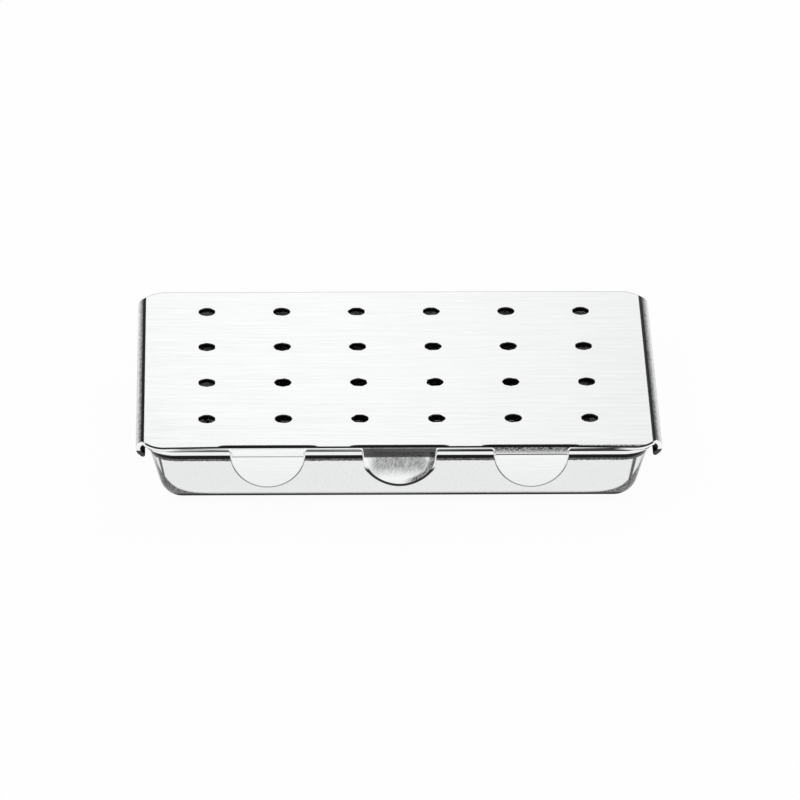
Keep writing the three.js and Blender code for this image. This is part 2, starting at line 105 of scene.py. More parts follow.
def filleted(corners: Sequence[tuple[float, float, float]], steps: int = 5) -> np.ndarray:
    """A closed outline whose corners are rounded.

    Args:
        corners: Corners as (x, y, radius), where a radius of 0 leaves the corner as a point.
        steps: Steps of each rounding.

    Returns:
        The points of the outline, in the order of the corners.
    """
    points: list[np.ndarray] = []
    for i, (x, y, radius) in enumerate(corners):
        corner = np.array([x, y])
        before = np.array(corners[i - 1][:2]) - corner
        after = np.array(corners[(i + 1) % len(corners)][:2]) - corner
        if radius <= 0:
            points.append(corner[None, :])
            continue
        before /= np.linalg.norm(before)
        after /= np.linalg.norm(after)
        half = math.acos(float(np.clip(before @ after, -1, 1))) / 2
        inward = (before + after) / np.linalg.norm(before + after)
        centre = corner + inward * radius / math.sin(half)
        first = corner + before * radius / math.tan(half) - centre
        last = corner + after * radius / math.tan(half) - centre
        start = math.atan2(first[1], first[0])
        turn = (math.atan2(last[1], last[0]) - start + math.pi) % (2 * math.pi) - math.pi
        points.append(arc(centre, radius, start, start + turn, steps))
    return np.vstack(points)


def split_at(loop: np.ndarray, axis: int, levels: np.ndarray) -> np.ndarray:
    """Adds the points at which a closed outline crosses the given levels.

    Args:
        loop: Points of the outline.
        axis: 0 to split at places along the blank, 1 to split at places across it.
        levels: The places.

    Returns:
        The outline with the added points.
    """
    points: list[np.ndarray] = []
    for a, b in zip(loop, np.roll(loop, -1, axis=0), strict=True):
        points.append(a)
        low, high = sorted((a[axis], b[axis]))
        inside = levels[(levels > low + NEAREST) & (levels < high - NEAREST)]
        shares = np.sort((inside - a[axis]) / (b[axis] - a[axis])) if len(inside) else []
        points.extend(a + (b - a) * share for share in shares)
    return np.array(points)


def thinned(places: np.ndarray, least: float) -> np.ndarray:
    """Leaves out of rising numbers those that come too soon after the one before.

    Args:
        places: The numbers.
        least: Least step between them.

    Returns:
        The numbers that stay.
    """
    kept = [places[0]]
    for place in places[1:]:
        if place - kept[-1] > least:
            kept.append(place)
    return np.array(kept)


def smooth_step(share: np.ndarray) -> np.ndarray:
    """A smooth rise from 0 to 1 for shares from 0 to 1."""
    share = np.clip(share, 0, 1)
    return share * share * (3 - 2 * share)


def linked(name: str, data: bpy.types.ID) -> bpy.types.Object:
    """Makes an object and links it to the scene.

    Args:
        name: Name of the object.
        data: Its mesh, light or camera.

    Returns:
        The object.
    """
    made = bpy.data.objects.new(name, data)
    bpy.context.scene.collection.objects.link(made)
    return made


def plain_mesh(
    name: str, points: Sequence[Sequence[float]], faces: Sequence[tuple[int, ...]]
) -> bpy.types.Mesh:
    """Makes a mesh.

    Args:
        name: Name of the mesh.
        points: Vertices in metres.
        faces: Corner indices of each face.

    Returns:
        The mesh.
    """
    mesh = bpy.data.meshes.new(name)
    mesh.from_pydata(points, [], faces)
    return mesh


def smooth_piece(
    name: str, points: np.ndarray, faces: Sequence[tuple[int, ...]], normals: np.ndarray
) -> bpy.types.Object:
    """Makes a smooth mesh object with given vertex normals.

    Args:
        name: Name of the piece.
        points: Vertices in millimetres.
        faces: Corner indices of each face.
        normals: One unit normal for each vertex.

    Returns:
        The object, linked to the scene, with its mesh in metres.
    """
    mesh = plain_mesh(name, (points * MM).tolist(), faces)
    mesh.validate()
    mesh.polygons.foreach_set("use_smooth", [True] * len(mesh.polygons))
    mesh.normals_split_custom_set_from_vertices(normals.tolist())
    mesh.update()
    return linked(name, mesh)


def band(first: np.ndarray, second: np.ndarray) -> list[tuple[int, ...]]:
    """Joins two closed rings of vertices with four-cornered faces.

    Args:
        first: Indices of one ring.
        second: Indices of the other ring.

    Returns:
        The faces, each with two corners on the first ring and then two on the second.
    """
    corners = (first, np.roll(first, -1), np.roll(second, -1), second)
    return [tuple(int(corner) for corner in face) for face in zip(*corners, strict=True)]


def grid(columns: np.ndarray, rows: np.ndarray) -> np.ndarray:
    """Every place of a lattice of columns and rows."""
    return np.array([(x, y) for x in columns for y in rows])


# Bent sheet

Face = Callable[[np.ndarray], np.ndarray]


@dataclass
class Blank:
    """A flat sheet blank with holes and rounded cut edges, bent to shape by a mapping of its outer face.

    Attributes:
        outline: Outer boundary, run counter-clockwise.
        holes: Hole outlines, run clockwise.
        lattice: Places inside the blank at which a bend needs vertices.
        thickness: Sheet thickness.
        edge_round: Radius of the rounded cut edges.
        face: Gives the outer face's point in space for each place on the blank.
        worn: Gives the added radius of the outer face's edge at each place, where it is rounder.
        round_steps: Steps of each rounding.
    """

    outline: np.ndarray
    holes: list[np.ndarray]
    lattice: np.ndarray
    thickness: float
    edge_round: float
    face: Face
    worn: Callable[[np.ndarray], np.ndarray] | None = None
    round_steps: int = 4

    def outward(self, loop: np.ndarray) -> np.ndarray:
        """Finds the mitred outward directions at the points of a boundary.

        Args:
            loop: Points of the boundary.

        Returns:
            One direction for each point, longer at sharp corners.
        """
        edge = np.roll(loop, -1, axis=0) - loop
        normal = np.column_stack([edge[:, 1], -edge[:, 0]])
        normal /= np.linalg.norm(normal, axis=1)[:, None]
        mean = normal + np.roll(normal, 1, axis=0)
        mean /= np.linalg.norm(mean, axis=1)[:, None]
        spread = np.clip((mean * normal).sum(axis=1), 0.6, 1)
        return mean / spread[:, None]

    def inside(self, places: np.ndarray, margin: float) -> np.ndarray:
        """Which places lie in the blank, at least a margin away from its boundaries.

        Args:
            places: The places.
            margin: Least distance from every boundary.

        Returns:
            True for each place that does.
        """
        keep = np.ones(len(places), bool)
        for number, loop in enumerate([self.outline, *self.holes]):
            a, b = loop, np.roll(loop, -1, axis=0)
            edge = b - a
            for i in range(0, len(places), 500):
                p = places[i : i + 500, None, :]
                share = np.clip(((p - a) * edge).sum(2) / (edge * edge).sum(1), 0, 1)
                gap = np.linalg.norm(p - a - share[..., None] * edge, axis=2).min(axis=1)
                above = (a[:, 1] > p[..., 1]) != (b[:, 1] > p[..., 1])
                rise = np.where(edge[:, 1] == 0, 1, edge[:, 1])
                cross = p[..., 0] < a[:, 0] + (p[..., 1] - a[:, 1]) * edge[:, 0] / rise
                within = (above & cross).sum(axis=1) % 2 == 1
                keep[i : i + 500] &= (gap > margin) & (within if number == 0 else ~within)
        return keep

    def face_normal(self, places: np.ndarray) -> np.ndarray:
        """Finds the normals of the outer face.

        Args:
            places: Places on the blank.

        Returns:
            One unit normal for each place.
        """
        along = self.face(places + [NUDGE, 0]) - self.face(places - [NUDGE, 0])
        across = self.face(places + [0, NUDGE]) - self.face(places - [0, NUDGE])
        normal = np.cross(along, across)
        return normal / np.linalg.norm(normal, axis=1)[:, None]

    def bent(self, places: np.ndarray, depths: np.ndarray) -> np.ndarray:
        """Points in space of places at depths below the outer face."""
        return self.face(places) - depths[:, None] * self.face_normal(places)

    def bent_normals(self, places: np.ndarray, depths: np.ndarray, flat: np.ndarray) -> np.ndarray:
        """Normals in space of directions that are normals of the flat blank.

        Args:
            places: Places on the blank.
            depths: Depths below its outer face.
            flat: Normals of the flat blank, with the outer face towards +Z.

        Returns:
            Unit normals of the bent sheet.
        """
        step = np.full(len(places), NUDGE)
        along = self.bent(places + [NUDGE, 0], depths) - self.bent(places - [NUDGE, 0], depths)
        across = self.bent(places + [0, NUDGE], depths) - self.bent(places - [0, NUDGE], depths)
        up = self.bent(places, depths - step) - self.bent(places, depths + step)
        normal = (
            flat[:, :1] * np.cross(across, up)
            + flat[:, 1:2] * np.cross(up, along)
            + flat[:, 2:] * np.cross(along, across)
        )
        return normal / np.linalg.norm(normal, axis=1)[:, None]

    def triangles(self, places: np.ndarray) -> np.ndarray:
        """Triangles of the flat blank.

        Args:
            places: Points of the boundaries, loop by loop, and then those of the lattice.

        Returns:
            Three indices into the places for each triangle.
        """
        edges: list[tuple[int, int]] = []
        for loop in (self.outline, *self.holes):
            start = len(edges)
            edges += [(start + k, start + (k + 1) % len(loop)) for k in range(len(loop))]
        found = delaunay_2d_cdt([Vector(p) for p in places], edges, [], 1, SAME_PLACE)
        origin = [ids[0] for ids in found[3]]
        corners = np.array([[origin[i] for i in triangle] for triangle in found[2]])
        middles = places[corners].mean(axis=1)
        solid = self.inside(middles, 0)
        for loop in self.holes:
            solid &= np.linalg.norm(middles - loop.mean(axis=0), axis=1) > CENTRED
        return corners[solid]

    def edge_rows(self, loop: np.ndarray, out: np.ndarray, outer: np.ndarray) -> list[tuple[np.ndarray, ...]]:
        """Rows of points round one cut edge, from the outer face to the inner one.

        Args:
            loop: Points of the boundary.
            out: Its outward directions.
            outer: Radius of the outer face's edge at each point.

        Returns:
            For each row, its places on the blank, their depths and their normals on the flat blank.
        """
        unit = out / np.linalg.norm(out, axis=1)[:, None]
        turns = np.linspace(0, QUARTER_TURN, self.round_steps + 1)[1:]
        rows = []
        for turn, under in [(t, False) for t in turns] + [(t, True) for t in turns[::-1]]:
            radius = np.full(len(loop), self.edge_round) if under else outer
            sink = radius * (1 - math.cos(turn))
            lean = -math.cos(turn) if under else math.cos(turn)
            rows.append((
                loop - out * (radius * (1 - math.sin(turn)))[:, None],
                self.thickness - sink if under else sink,
                np.column_stack([unit * math.sin(turn), np.full(len(loop), lean)]),
            ))
        return rows

    def build(self, name: str) -> bpy.types.Object:
        """Makes the bent piece.

        Args:
            name: Name of the piece.

        Returns:
            The piece as a closed mesh.
        """
        loops = [self.outline, *self.holes]
        outwards = [self.outward(loop) for loop in loops]
        rounds = [self.edge_round + (self.worn(loop) if self.worn else np.zeros(len(loop))) for loop in loops]
        lattice = self.lattice[self.inside(self.lattice, LATTICE_MARGIN * self.edge_round)]
        sides = list(zip(loops, outwards, rounds, strict=True))
        outer_rims = [loop - out * outer[:, None] for loop, out, outer in sides]
        inner_rims = [loop - out * self.edge_round for loop, out, _ in sides]
        places = np.vstack([*outer_rims, lattice])
        size = len(places)
        corners = self.triangles(places)
        points = [places, np.vstack([*inner_rims, lattice])]
        depths = [np.zeros(size), np.full(size, self.thickness)]
        flats = [np.tile([0.0, 0.0, 1.0], (size, 1)), np.tile([0.0, 0.0, -1.0], (size, 1))]
        faces = [tuple(int(i) for i in c) for c in corners]
        faces += [tuple(int(i) + size for i in c[::-1]) for c in corners]
        start, made = 0, 2 * size
        for loop, out, outer in sides:
            ring = np.arange(len(loop))
            rings = [start + ring]
            for row, depth, flat in self.edge_rows(loop, out, outer):
                points.append(row)
                depths.append(depth)
                flats.append(flat)
                rings.append(made + ring)
                made += len(loop)
            rings.append(start + size + ring)
            for upper, lower in zip(rings, rings[1:], strict=False):
                corners = (upper, lower, np.roll(lower, -1), np.roll(upper, -1))
                faces += [tuple(int(corner) for corner in face) for face in zip(*corners, strict=True)]
            start += len(loop)
        where, deep, flat = np.vstack(points), np.concatenate(depths), np.vstack(flats)
        return smooth_piece(name, self.bent(where, deep), faces, self.bent_normals(where, deep, flat))


# Finishes

Socket = bpy.types.NodeSocket
Span = tuple[float, ...]  # start and end of a rise, and its values there where they aren't 0 and 1


@dataclass(frozen=True)
class Nodes:
    """Short calls that add nodes to one material's tree.

    Attributes:
        tree: The node tree.
    """

    tree: bpy.types.NodeTree

    def feed(self, socket: Socket, value: Socket | float) -> None:
        """Links a socket to an input, or sets the input to a number.

        Args:
            socket: The input.
            value: The socket or the number.
        """
        if isinstance(value, bpy.types.NodeSocket):
            self.tree.links.new(value, socket)
        else:
            socket.default_value = value

    def maths(self, operation: str, *values: Socket | float, clamp: bool = False) -> Socket:
        """Adds a math node.

        Args:
            operation: Blender's name of the operation.
            values: What it works on.
            clamp: Whether the result is kept between 0 and 1.

        Returns:
            The result.
        """
        node = self.tree.nodes.new("ShaderNodeMath")
        node.operation = operation
        node.use_clamp = clamp
        for socket, value in zip(node.inputs, values, strict=False):
            self.feed(socket, value)
        return node.outputs[0]

    def product(self, first: Socket, *others: Socket | float) -> Socket:
        """Multiplies values.

        Args:
            first: The first value.
            others: The values that it is multiplied by.

        Returns:
            The product.
        """
        for other in others:
            first = self.maths("MULTIPLY", first, other)
        return first

    def rise(self, value: Socket, start: float, end: float, low: float = 0.0, high: float = 1.0) -> Socket:
        """Maps a value smoothly over a span.

        Args:
            value: The value.
            start: Where the span starts.
            end: Where it ends.
            low: Result at the start.
            high: Result at the end.

        Returns:
            The result.
        """
        node = self.tree.nodes.new("ShaderNodeMapRange")
        node.interpolation_type = "SMOOTHSTEP"
        node.inputs["From Min"].default_value = start
        node.inputs["From Max"].default_value = end
        node.inputs["To Min"].default_value = low
        node.inputs["To Max"].default_value = high
        self.feed(node.inputs["Value"], value)
        return node.outputs["Result"]

    def noise(self, place: Socket, scale: float, detail: float, stretch: Sequence[float] = (1, 1, 1),
              slant: float = 0.0) -> Socket:
        """Adds a noise, with most of its values between 0.3 and 0.7.

        Args:
            place: Where it is looked up.
            scale: Its fineness.
            detail: Its finer layers.
            stretch: Its fineness along each axis, as shares.
            slant: Turn of the axes in the XZ plane, in degrees.

        Returns:
            The noise.
        """
        mapping = self.tree.nodes.new("ShaderNodeMapping")
        mapping.vector_type = "TEXTURE"
        mapping.inputs["Rotation"].default_value = (0, math.radians(slant), 0)
        mapping.inputs["Scale"].default_value = [1 / share for share in stretch]
        self.feed(mapping.inputs["Vector"], place)
        noise = self.tree.nodes.new("ShaderNodeTexNoise")
        noise.inputs["Scale"].default_value = scale
        noise.inputs["Detail"].default_value = detail
        self.feed(noise.inputs["Vector"], mapping.outputs["Vector"])
        return noise.outputs["Fac"]

    def most(self, first: Socket, *others: Socket) -> Socket:
        """Picks the largest of some values.

        Args:
            first: The first value.
            others: The others.

        Returns:
            The largest value.
        """
        for other in others:
            first = self.maths("MAXIMUM", first, other)
        return first

    def within(self, *tests: tuple[Socket, Span], times: Sequence[Socket | float] = ()) -> Socket:
        """How far some values all lie inside their spans.

        Args:
            tests: Each value with its span.
            times: Further factors.

        Returns:
            The product.
        """
        first, *others = [self.rise(value, *span) for value, span in tests]
        return self.product(first, *others, *times)

    def size_of(self, value: Socket) -> Socket:
        """A value without its sign."""
        return self.maths("ABSOLUTE", value)

    def parts(self, vector: Socket) -> tuple[Socket, Socket, Socket]:
        """Splits a vector.

        Args:
            vector: The vector.

        Returns:
            Its three parts.
        """
        node = self.tree.nodes.new("ShaderNodeSeparateXYZ")
        self.feed(node.inputs[0], vector)
        return node.outputs[0], node.outputs[1], node.outputs[2]

    def place(self) -> Socket:
        """Object coordinates, in metres."""
        return self.tree.nodes.new("ShaderNodeTexCoord").outputs["Object"]

    def facing(self) -> tuple[Socket, Socket, Socket]:
        """The direction that the surface faces."""
        return self.parts(self.tree.nodes.new("ShaderNodeNewGeometry").outputs["Normal"])

    def tint(self, share: Socket, first: Sequence[float], second: Sequence[float]) -> Socket:
        """Mixes two colours.

        Args:
            share: Share of the second colour.
            first: The first colour.
            second: The second colour.

        Returns:
            The mixed colour.
        """
        node = self.tree.nodes.new("ShaderNodeMix")
        node.data_type = "RGBA"
        self.feed(node.inputs[0], share)
        node.inputs[6].default_value = (*first, 1.0)
        node.inputs[7].default_value = (*second, 1.0)
        return node.outputs[2]

    def bump(self, height: Socket, distance: float, strength: float, under: Socket | None = None) -> Socket:
        """Adds a bump over another one.

        Args:
            height: The height, from 0 to 1.
            distance: What the height is multiplied by, in metres.
            strength: Strength of the bump.
            under: Normal from the bump below, if there is one.

        Returns:
            The new normal.
        """
        node = self.tree.nodes.new("ShaderNodeBump")
        node.inputs["Strength"].default_value = strength
        node.inputs["Distance"].default_value = distance
        self.feed(node.inputs["Height"], height)
        if under is not None:
            self.feed(node.inputs["Normal"], under)
        return node.outputs["Normal"]

    def blend(self, share: Socket, first: Socket, second: Socket, output: bpy.types.Node) -> None:
        """Mixes two shaders and links them to an output.

        Args:
            share: Share of the second shader.
            first: The first shader.
            second: The second shader.
            output: The output node.
        """
        mix = self.tree.nodes.new("ShaderNodeMixShader")
        self.feed(mix.inputs[0], share)
        self.feed(mix.inputs[1], first)
        self.feed(mix.inputs[2], second)
        self.feed(output.inputs["Surface"], mix.outputs[0])


class Grain(Enum):
    """Direction of a brushed grain, as how finely its noise runs along X, Y and Z."""

    ALONG_X = (1.0, 40.0, 40.0)
    UPRIGHT = (40.0, 40.0, 1.0)


@dataclass(frozen=True)
class Blotches:
    """Uneven patches that a noise gives.

    Attributes:
        fineness: Patches to the metre.
        detail: How ragged they are.
        span: Noise values over which they fade in, with their strengths at both ends.
        stretch: How finely the noise runs along X, Y and Z.
        slant: Its turn in the XZ plane, in degrees.
    """

    fineness: float
    detail: float
    span: Span
    stretch: tuple[float, float, float] = (1.0, 1.0, 1.0)
    slant: float = 0.0

    def over(self, nodes: Nodes, place: Socket) -> Socket:
        """Adds the patches."""
        noise = nodes.noise(place, self.fineness, self.detail, self.stretch, self.slant)
        return nodes.rise(noise, *self.span)


# a finish's painted shade and painted reflections, as how dark each place is painted
PaintedShade = Callable[[Nodes], Socket]


def no_painted_shade(nodes: Nodes) -> Socket:
    """No painted shade: the sheet keeps its own colour all over."""
    return nodes.maths("ADD", 0.0, 0.0)


@dataclass(frozen=True)
class PaintedTrayShade:
    """Painted shade and painted reflections on a tray: a dark band under its rim, a dark line along its front
    edge, dark lines and grey patches down its corners and ends, a dark line round its bottom bend, and a
    darker inside.

    Each span says where a patch of painted shade starts and where it is full, in metres, or in parts of the
    surface's normal where its name says that it faces some way. Two more numbers in a span are the strengths
    at its ends.
    """

    mottle: Blotches = Blotches(2600.0, 3.0, (0.35, 0.62, 0.86, 1.0))
    patches: Blotches = Blotches(3000.0, 5.0, (0.36, 0.64, 0.70, 0.93))
    ragged_fineness: float = 3200.0
    ragged_detail: float = 2.0
    ragged_depth: float = 0.0004
    faces_out: Span = (-0.05, -0.15)
    below_rim: Span = (0.01330, 0.01318)
    under_rim: Span = (0.01128, 0.01144)
    under_rim_dark: float = 0.93
    roll: Span = (0.0115, 0.0118)
    rim_edge: Span = (0.01394, 0.01398)
    rim_faces_front: Span = (-0.2, -0.4)
    rim_along: Span = (-0.035, 0.03, 0.4, 0.95)
    least_front: float = 0.01
    corner_skew: Span = (-0.1, 0.1, -0.04, 0.2)
    corner_line_start: Span = (0.62, 0.72)
    corner_line_end: Span = (0.96, 0.86)
    corner_line_dark: float = 0.92
    end_walls: Span = (1.0, 1.3)
    end_walls_dark: float = 0.36
    patch_start: float = 0.030
    patch_rate: float = 66.7
    patch_power: float = 5.0
    patch_climb: float = 0.0036
    patch_height: float = 0.0024
    patch_fade: Span = (0.0, 0.0006)
    patch_turn: Span = (2.4, 1.3, 0.4, 1.0)
    bottom_faces_down: Span = (-0.60, -0.82)
    floor_faces_down: Span = (-0.999, -0.97)
    bottom_dark: float = 0.8
    inside_faces_up: Span = (0.05, 0.15)
    inside_height: Span = (0.0132, 0.0130)
    inside_dark: float = 0.4

    def shade(self, nodes: Nodes) -> Socket:
        """How far the painted shade darkens each place.

        Args:
            nodes: The material's nodes.

        Returns:
            A value from 0 for bright metal to 1.
        """
        place = nodes.place()
        x, _, height = nodes.parts(place)
        side, front, up = nodes.facing()
        mottle, patches = self.mottle.over(nodes, place), self.patches.over(nodes, place)
        ragged = nodes.noise(place, self.ragged_fineness, self.ragged_detail)
        ragged = nodes.product(ragged, self.ragged_depth)
        outside = nodes.within((up, self.faces_out), (height, self.below_rim))
        uneven = nodes.maths("ADD", height, ragged)
        # painted shade: a dark band under the rim, and a darker roll
        under_rim = nodes.within((uneven, self.under_rim), times=(outside, mottle, self.under_rim_dark))
        roll = nodes.within((height, self.roll), times=(outside,))
        # painted shade: a dark line along the rim's front edge, under the lid
        rim_edge = nodes.within((height, self.rim_edge), (front, self.rim_faces_front), (x, self.rim_along))
        # painted reflections: dark lines down the corners
        forward = nodes.maths("MAXIMUM", nodes.size_of(front), self.least_front)
        turn = nodes.maths("DIVIDE", nodes.size_of(side), forward)
        skewed = nodes.maths("ADD", turn, nodes.rise(side, *self.corner_skew))
        corner_line = nodes.within(
            (skewed, self.corner_line_start), (skewed, self.corner_line_end),
            times=(mottle, outside, self.corner_line_dark),
        )
        # painted reflections: grey patches on the end walls and low on the corners
        end_walls = nodes.within((turn, self.end_walls), times=(patches, outside, self.end_walls_dark))
        reach = nodes.maths("MAXIMUM", nodes.maths("SUBTRACT", nodes.size_of(x), self.patch_start), 0.0)
        growth = nodes.maths("POWER", nodes.product(reach, self.patch_rate), self.patch_power)
        bound = nodes.maths("MULTIPLY_ADD", growth, self.patch_climb, self.patch_height)
        depth = nodes.maths("SUBTRACT", nodes.maths("ADD", bound, ragged), height)
        patch = nodes.within((depth, self.patch_fade), (turn, self.patch_turn), times=(outside, patches))
        # painted shade: a dark line round the bottom bend
        bottom = nodes.within(
            (up, self.bottom_faces_down), (up, self.floor_faces_down), times=(mottle, self.bottom_dark)
        )
        # painted shade: a darker inside
        inside = nodes.within(
            (up, self.inside_faces_up), (height, self.inside_height), times=(self.inside_dark,)
        )
        return nodes.most(under_rim, roll, rim_edge, corner_line, end_walls, patch, bottom, inside)


@dataclass(frozen=True)
class LidEdgeShade:
    """Painted shade and painted reflections on a lid: dark lines along its front and back edges, a darker
    underside, dark rims round its punched holes, and dark lower ends of its folds.

    Spans are as in the tray's painted shade.
    """

    faces_front: Span = (-0.04, -0.14)
    between_folds: Span = (0.0497, 0.0493)
    front_edge: Span = (-0.0270, -0.0280)
    upper_line: Span = (0.01503, 0.01511)
    upper_dark: float = 0.97
    lower_faces_down: Span = (-0.05, -0.25)
    lower_line: Span = (0.0142, 0.0144)
    lower_along: Span = (-0.035, 0.03, 0.5, 0.97)
    faces_back: Span = (0.01, 0.05)
    back_edge: Span = (0.0270, 0.0280)
    back_line: Span = (0.01490, 0.01500)
    back_dark: float = 0.95
    underside_faces_down: Span = (-0.9, -0.98)
    underside: Span = (0.0140, 0.0143)
    underside_dark: float = 0.4
    hole_faces_not_up: Span = (0.97, 0.85)
    hole_faces_not_down: Span = (-0.97, -0.85)
    holes_along: Span = (0.0420, 0.0410)
    holes_across: Span = (0.0275, 0.0270)
    holes_dark: float = 0.95
    fold: Span = (0.0484, 0.0487)
    fold_end: Span = (0.0286, 0.0292)
    fold_lower_half: Span = (0.0135, 0.0132)
    fold_end_dark: float = 0.95

    def shade(self, nodes: Nodes, place: Socket) -> Socket:
        """How far the painted shade darkens each place.

        Args:
            nodes: The material's nodes.
            place: Object coordinates.

        Returns:
            A value from 0 for bright metal to 1.
        """
        x, y, z = nodes.parts(place)
        _, front, up = nodes.facing()
        away, across = nodes.size_of(x), nodes.size_of(y)
        # painted shade and painted reflections: dark edge lines, underside, hole rims and fold ends
        forward = nodes.within((front, self.faces_front), (away, self.between_folds))
        upper = nodes.within((z, self.upper_line), (y, self.front_edge), times=(forward, self.upper_dark))
        lower = nodes.within(
            (up, self.lower_faces_down), (z, self.lower_line), (x, self.lower_along), times=(forward,)
        )
        back = nodes.within(
            (front, self.faces_back), (z, self.back_line), (y, self.back_edge), times=(self.back_dark,)
        )
        below = nodes.within(
            (up, self.underside_faces_down), (z, self.underside), times=(self.underside_dark,)
        )
        punched = nodes.within(
            (up, self.hole_faces_not_up), (up, self.hole_faces_not_down),
            (away, self.holes_along), (across, self.holes_across), times=(self.holes_dark,),
        )
        ends = nodes.within(
            (away, self.fold), (across, self.fold_end), (z, self.fold_lower_half), times=(self.fold_end_dark,)
        )
        return nodes.most(upper, lower, back, below, punched, ends)


@dataclass(frozen=True)
class SideFoldShade:
    """A painted dark line and painted grey reflections along a lid's side folds.

    Spans are as in the tray's painted shade.
    """

    streaks: Blotches = Blotches(2400.0, 4.0, (0.34, 0.66, 0.55, 1.0), (1.0, 0.4, 1.0))
    shift: float = 0.00015
    line_start: Span = (0.04954, 0.04960)
    line_end: Span = (0.05030, 0.05014)
    grey_start: Span = (0.04956, 0.04962)
    grey_fade: Span = (0.0500, 0.0511, 0.88, 0.42)
    faces_sideways: Span = (-0.5, -0.2)
    upper_half: Span = (0.0128, 0.0132, 0.6, 1.0)

    def shade(self, nodes: Nodes, place: Socket) -> Socket:
        """How far the painted shade darkens each place.

        Args:
            nodes: The material's nodes.
            place: Object coordinates.

        Returns:
            A value from 0 for bright metal to 1.
        """
        x, _, z = nodes.parts(place)
        _, front, _ = nodes.facing()
        # painted reflections: a dark line and streaky grey along each side fold
        streaks = self.streaks.over(nodes, place)
        away = nodes.maths("ADD", nodes.size_of(x), nodes.product(nodes.maths("SIGN", x), self.shift))
        line = nodes.within((away, self.line_start), (away, self.line_end))
        greyed = nodes.within((away, self.grey_start), (away, self.grey_fade), times=(streaks,))
        fold = nodes.within((front, self.faces_sideways), (z, self.upper_half))
        return nodes.product(nodes.most(line, greyed), fold)


@dataclass(frozen=True)
class TongueShade:
    """Painted shade and painted reflections on a lid's tongues: dark outlines, the right one's dark crease,
    dark knees, and a grey hollow, a dark crescent and a dark border on the finger pull.

    Spans are as in the tray's painted shade.
    """

    hatch: Blotches = Blotches(3600.0, 3.0, (0.34, 0.66, 0.45, 1.0), (1.0, 1.0, 0.3), 35.0)
    soft: Blotches = Blotches(4200.0, 5.0, (0.34, 0.66, 0.62, 1.0), (1.0, 1.0, 0.3), 30.0)
    hanging: Span = (-0.0330, -0.0334)
    edge_faces_aside: Span = (0.1, 0.8, 0.6, 0.97)
    pull_edge: Span = (0.0100, 0.0090, 0.0, 0.98)
    edge_faces_down: Span = (-0.10, -0.28)
    flank_faces_aside: Span = (0.55, 0.8)
    outside_pull: Span = (0.0090, 0.0100)
    flank_height: Span = (0.0138, 0.0130)
    flat_tongues: Span = (0.0178, 0.0184)
    facet_front: Span = (-0.0319, -0.0321)
    facet_height: Span = (0.0141, 0.0149, 0.1, 0.97)
    facet_faces_up: Span = (0.55, 0.62)
    knee_faces_front: Span = (-0.74, -0.78)
    knee_faces_less: Span = (-0.90, -0.86)
    knee_faces_up: Span = (0.3, 0.4)
    knee_along: Span = (-0.005, 0.005, 0.55, 0.9)
    pull: Span = (0.0078, 0.0074)
    hollow_height: Span = (0.0092, 0.0126, 0.0, 0.72)
    hollow_width: Span = (0.0068, 0.0040)
    round_middle: float = 0.01467
    round_stretch: float = 1.105
    crescent_inner: Span = (0.0053, 0.0064)
    crescent_outer: Span = (0.0071, 0.0069)
    crescent_side: Span = (0.0004, 0.0030)
    crescent_low: Span = (0.0114, 0.0100)
    crescent_dark: float = 0.98
    border: Span = (0.00664, 0.00676)
    border_height: Span = (0.0124, 0.0116)
    border_dark: float = 0.98

    def shade(self, nodes: Nodes, place: Socket) -> Socket:
        """How far the painted shade darkens each place.

        Args:
            nodes: The material's nodes.
            place: Object coordinates.

        Returns:
            A value from 0 for bright metal to 1.
        """
        x, y, z = nodes.parts(place)
        side, front, up = nodes.facing()
        away, aside = nodes.size_of(x), nodes.size_of(side)
        hatch, soft = self.hatch.over(nodes, place), self.soft.over(nodes, place)
        # painted shade and painted reflections: dark outlines, crease, knees, and the finger pull's hollow,
        # crescent and border
        hanging = nodes.rise(y, *self.hanging)
        edge = nodes.most(nodes.rise(aside, *self.edge_faces_aside), nodes.rise(away, *self.pull_edge))
        under = nodes.within((up, self.edge_faces_down), times=(hanging, edge))
        flanks = nodes.within(
            (aside, self.flank_faces_aside), (away, self.outside_pull), (z, self.flank_height),
            times=(hanging, edge),
        )
        facet = nodes.within(
            (x, self.flat_tongues), (y, self.facet_front), (z, self.facet_height), (up, self.facet_faces_up),
            times=(hatch,),
        )
        knees = nodes.within(
            (away, self.flat_tongues), (front, self.knee_faces_front), (front, self.knee_faces_less),
            (up, self.knee_faces_up), (x, self.knee_along), times=(hanging,),
        )
        pull = nodes.within((away, self.pull), times=(hanging,))
        hollow = nodes.within((z, self.hollow_height), (away, self.hollow_width), times=(pull, soft))
        drop = nodes.product(nodes.maths("SUBTRACT", z, self.round_middle), self.round_stretch)
        reach = nodes.maths("SQRT", nodes.maths("ADD", nodes.product(x, x), nodes.product(drop, drop)))
        outer = nodes.most(nodes.rise(reach, *self.crescent_outer), nodes.rise(z, *self.crescent_low))
        crescent = nodes.within(
            (reach, self.crescent_inner), (x, self.crescent_side),
            times=(pull, outer, soft, self.crescent_dark),
        )
        border = nodes.within((reach, self.border), (z, self.border_height), times=(pull, self.border_dark))
        return nodes.most(under, flanks, facet, knees, hollow, crescent, border)


@dataclass(frozen=True)
class LidShade:
    """Painted shade and painted reflections on a lid, at its edges, its side folds and its tongues."""

    parts: tuple[LidEdgeShade, SideFoldShade, TongueShade] = (LidEdgeShade(), SideFoldShade(), TongueShade())

    def shade(self, nodes: Nodes) -> Socket:
        """How far the painted shade darkens each place."""
        place = nodes.place()
        return nodes.most(*[part.shade(nodes, place) for part in self.parts])


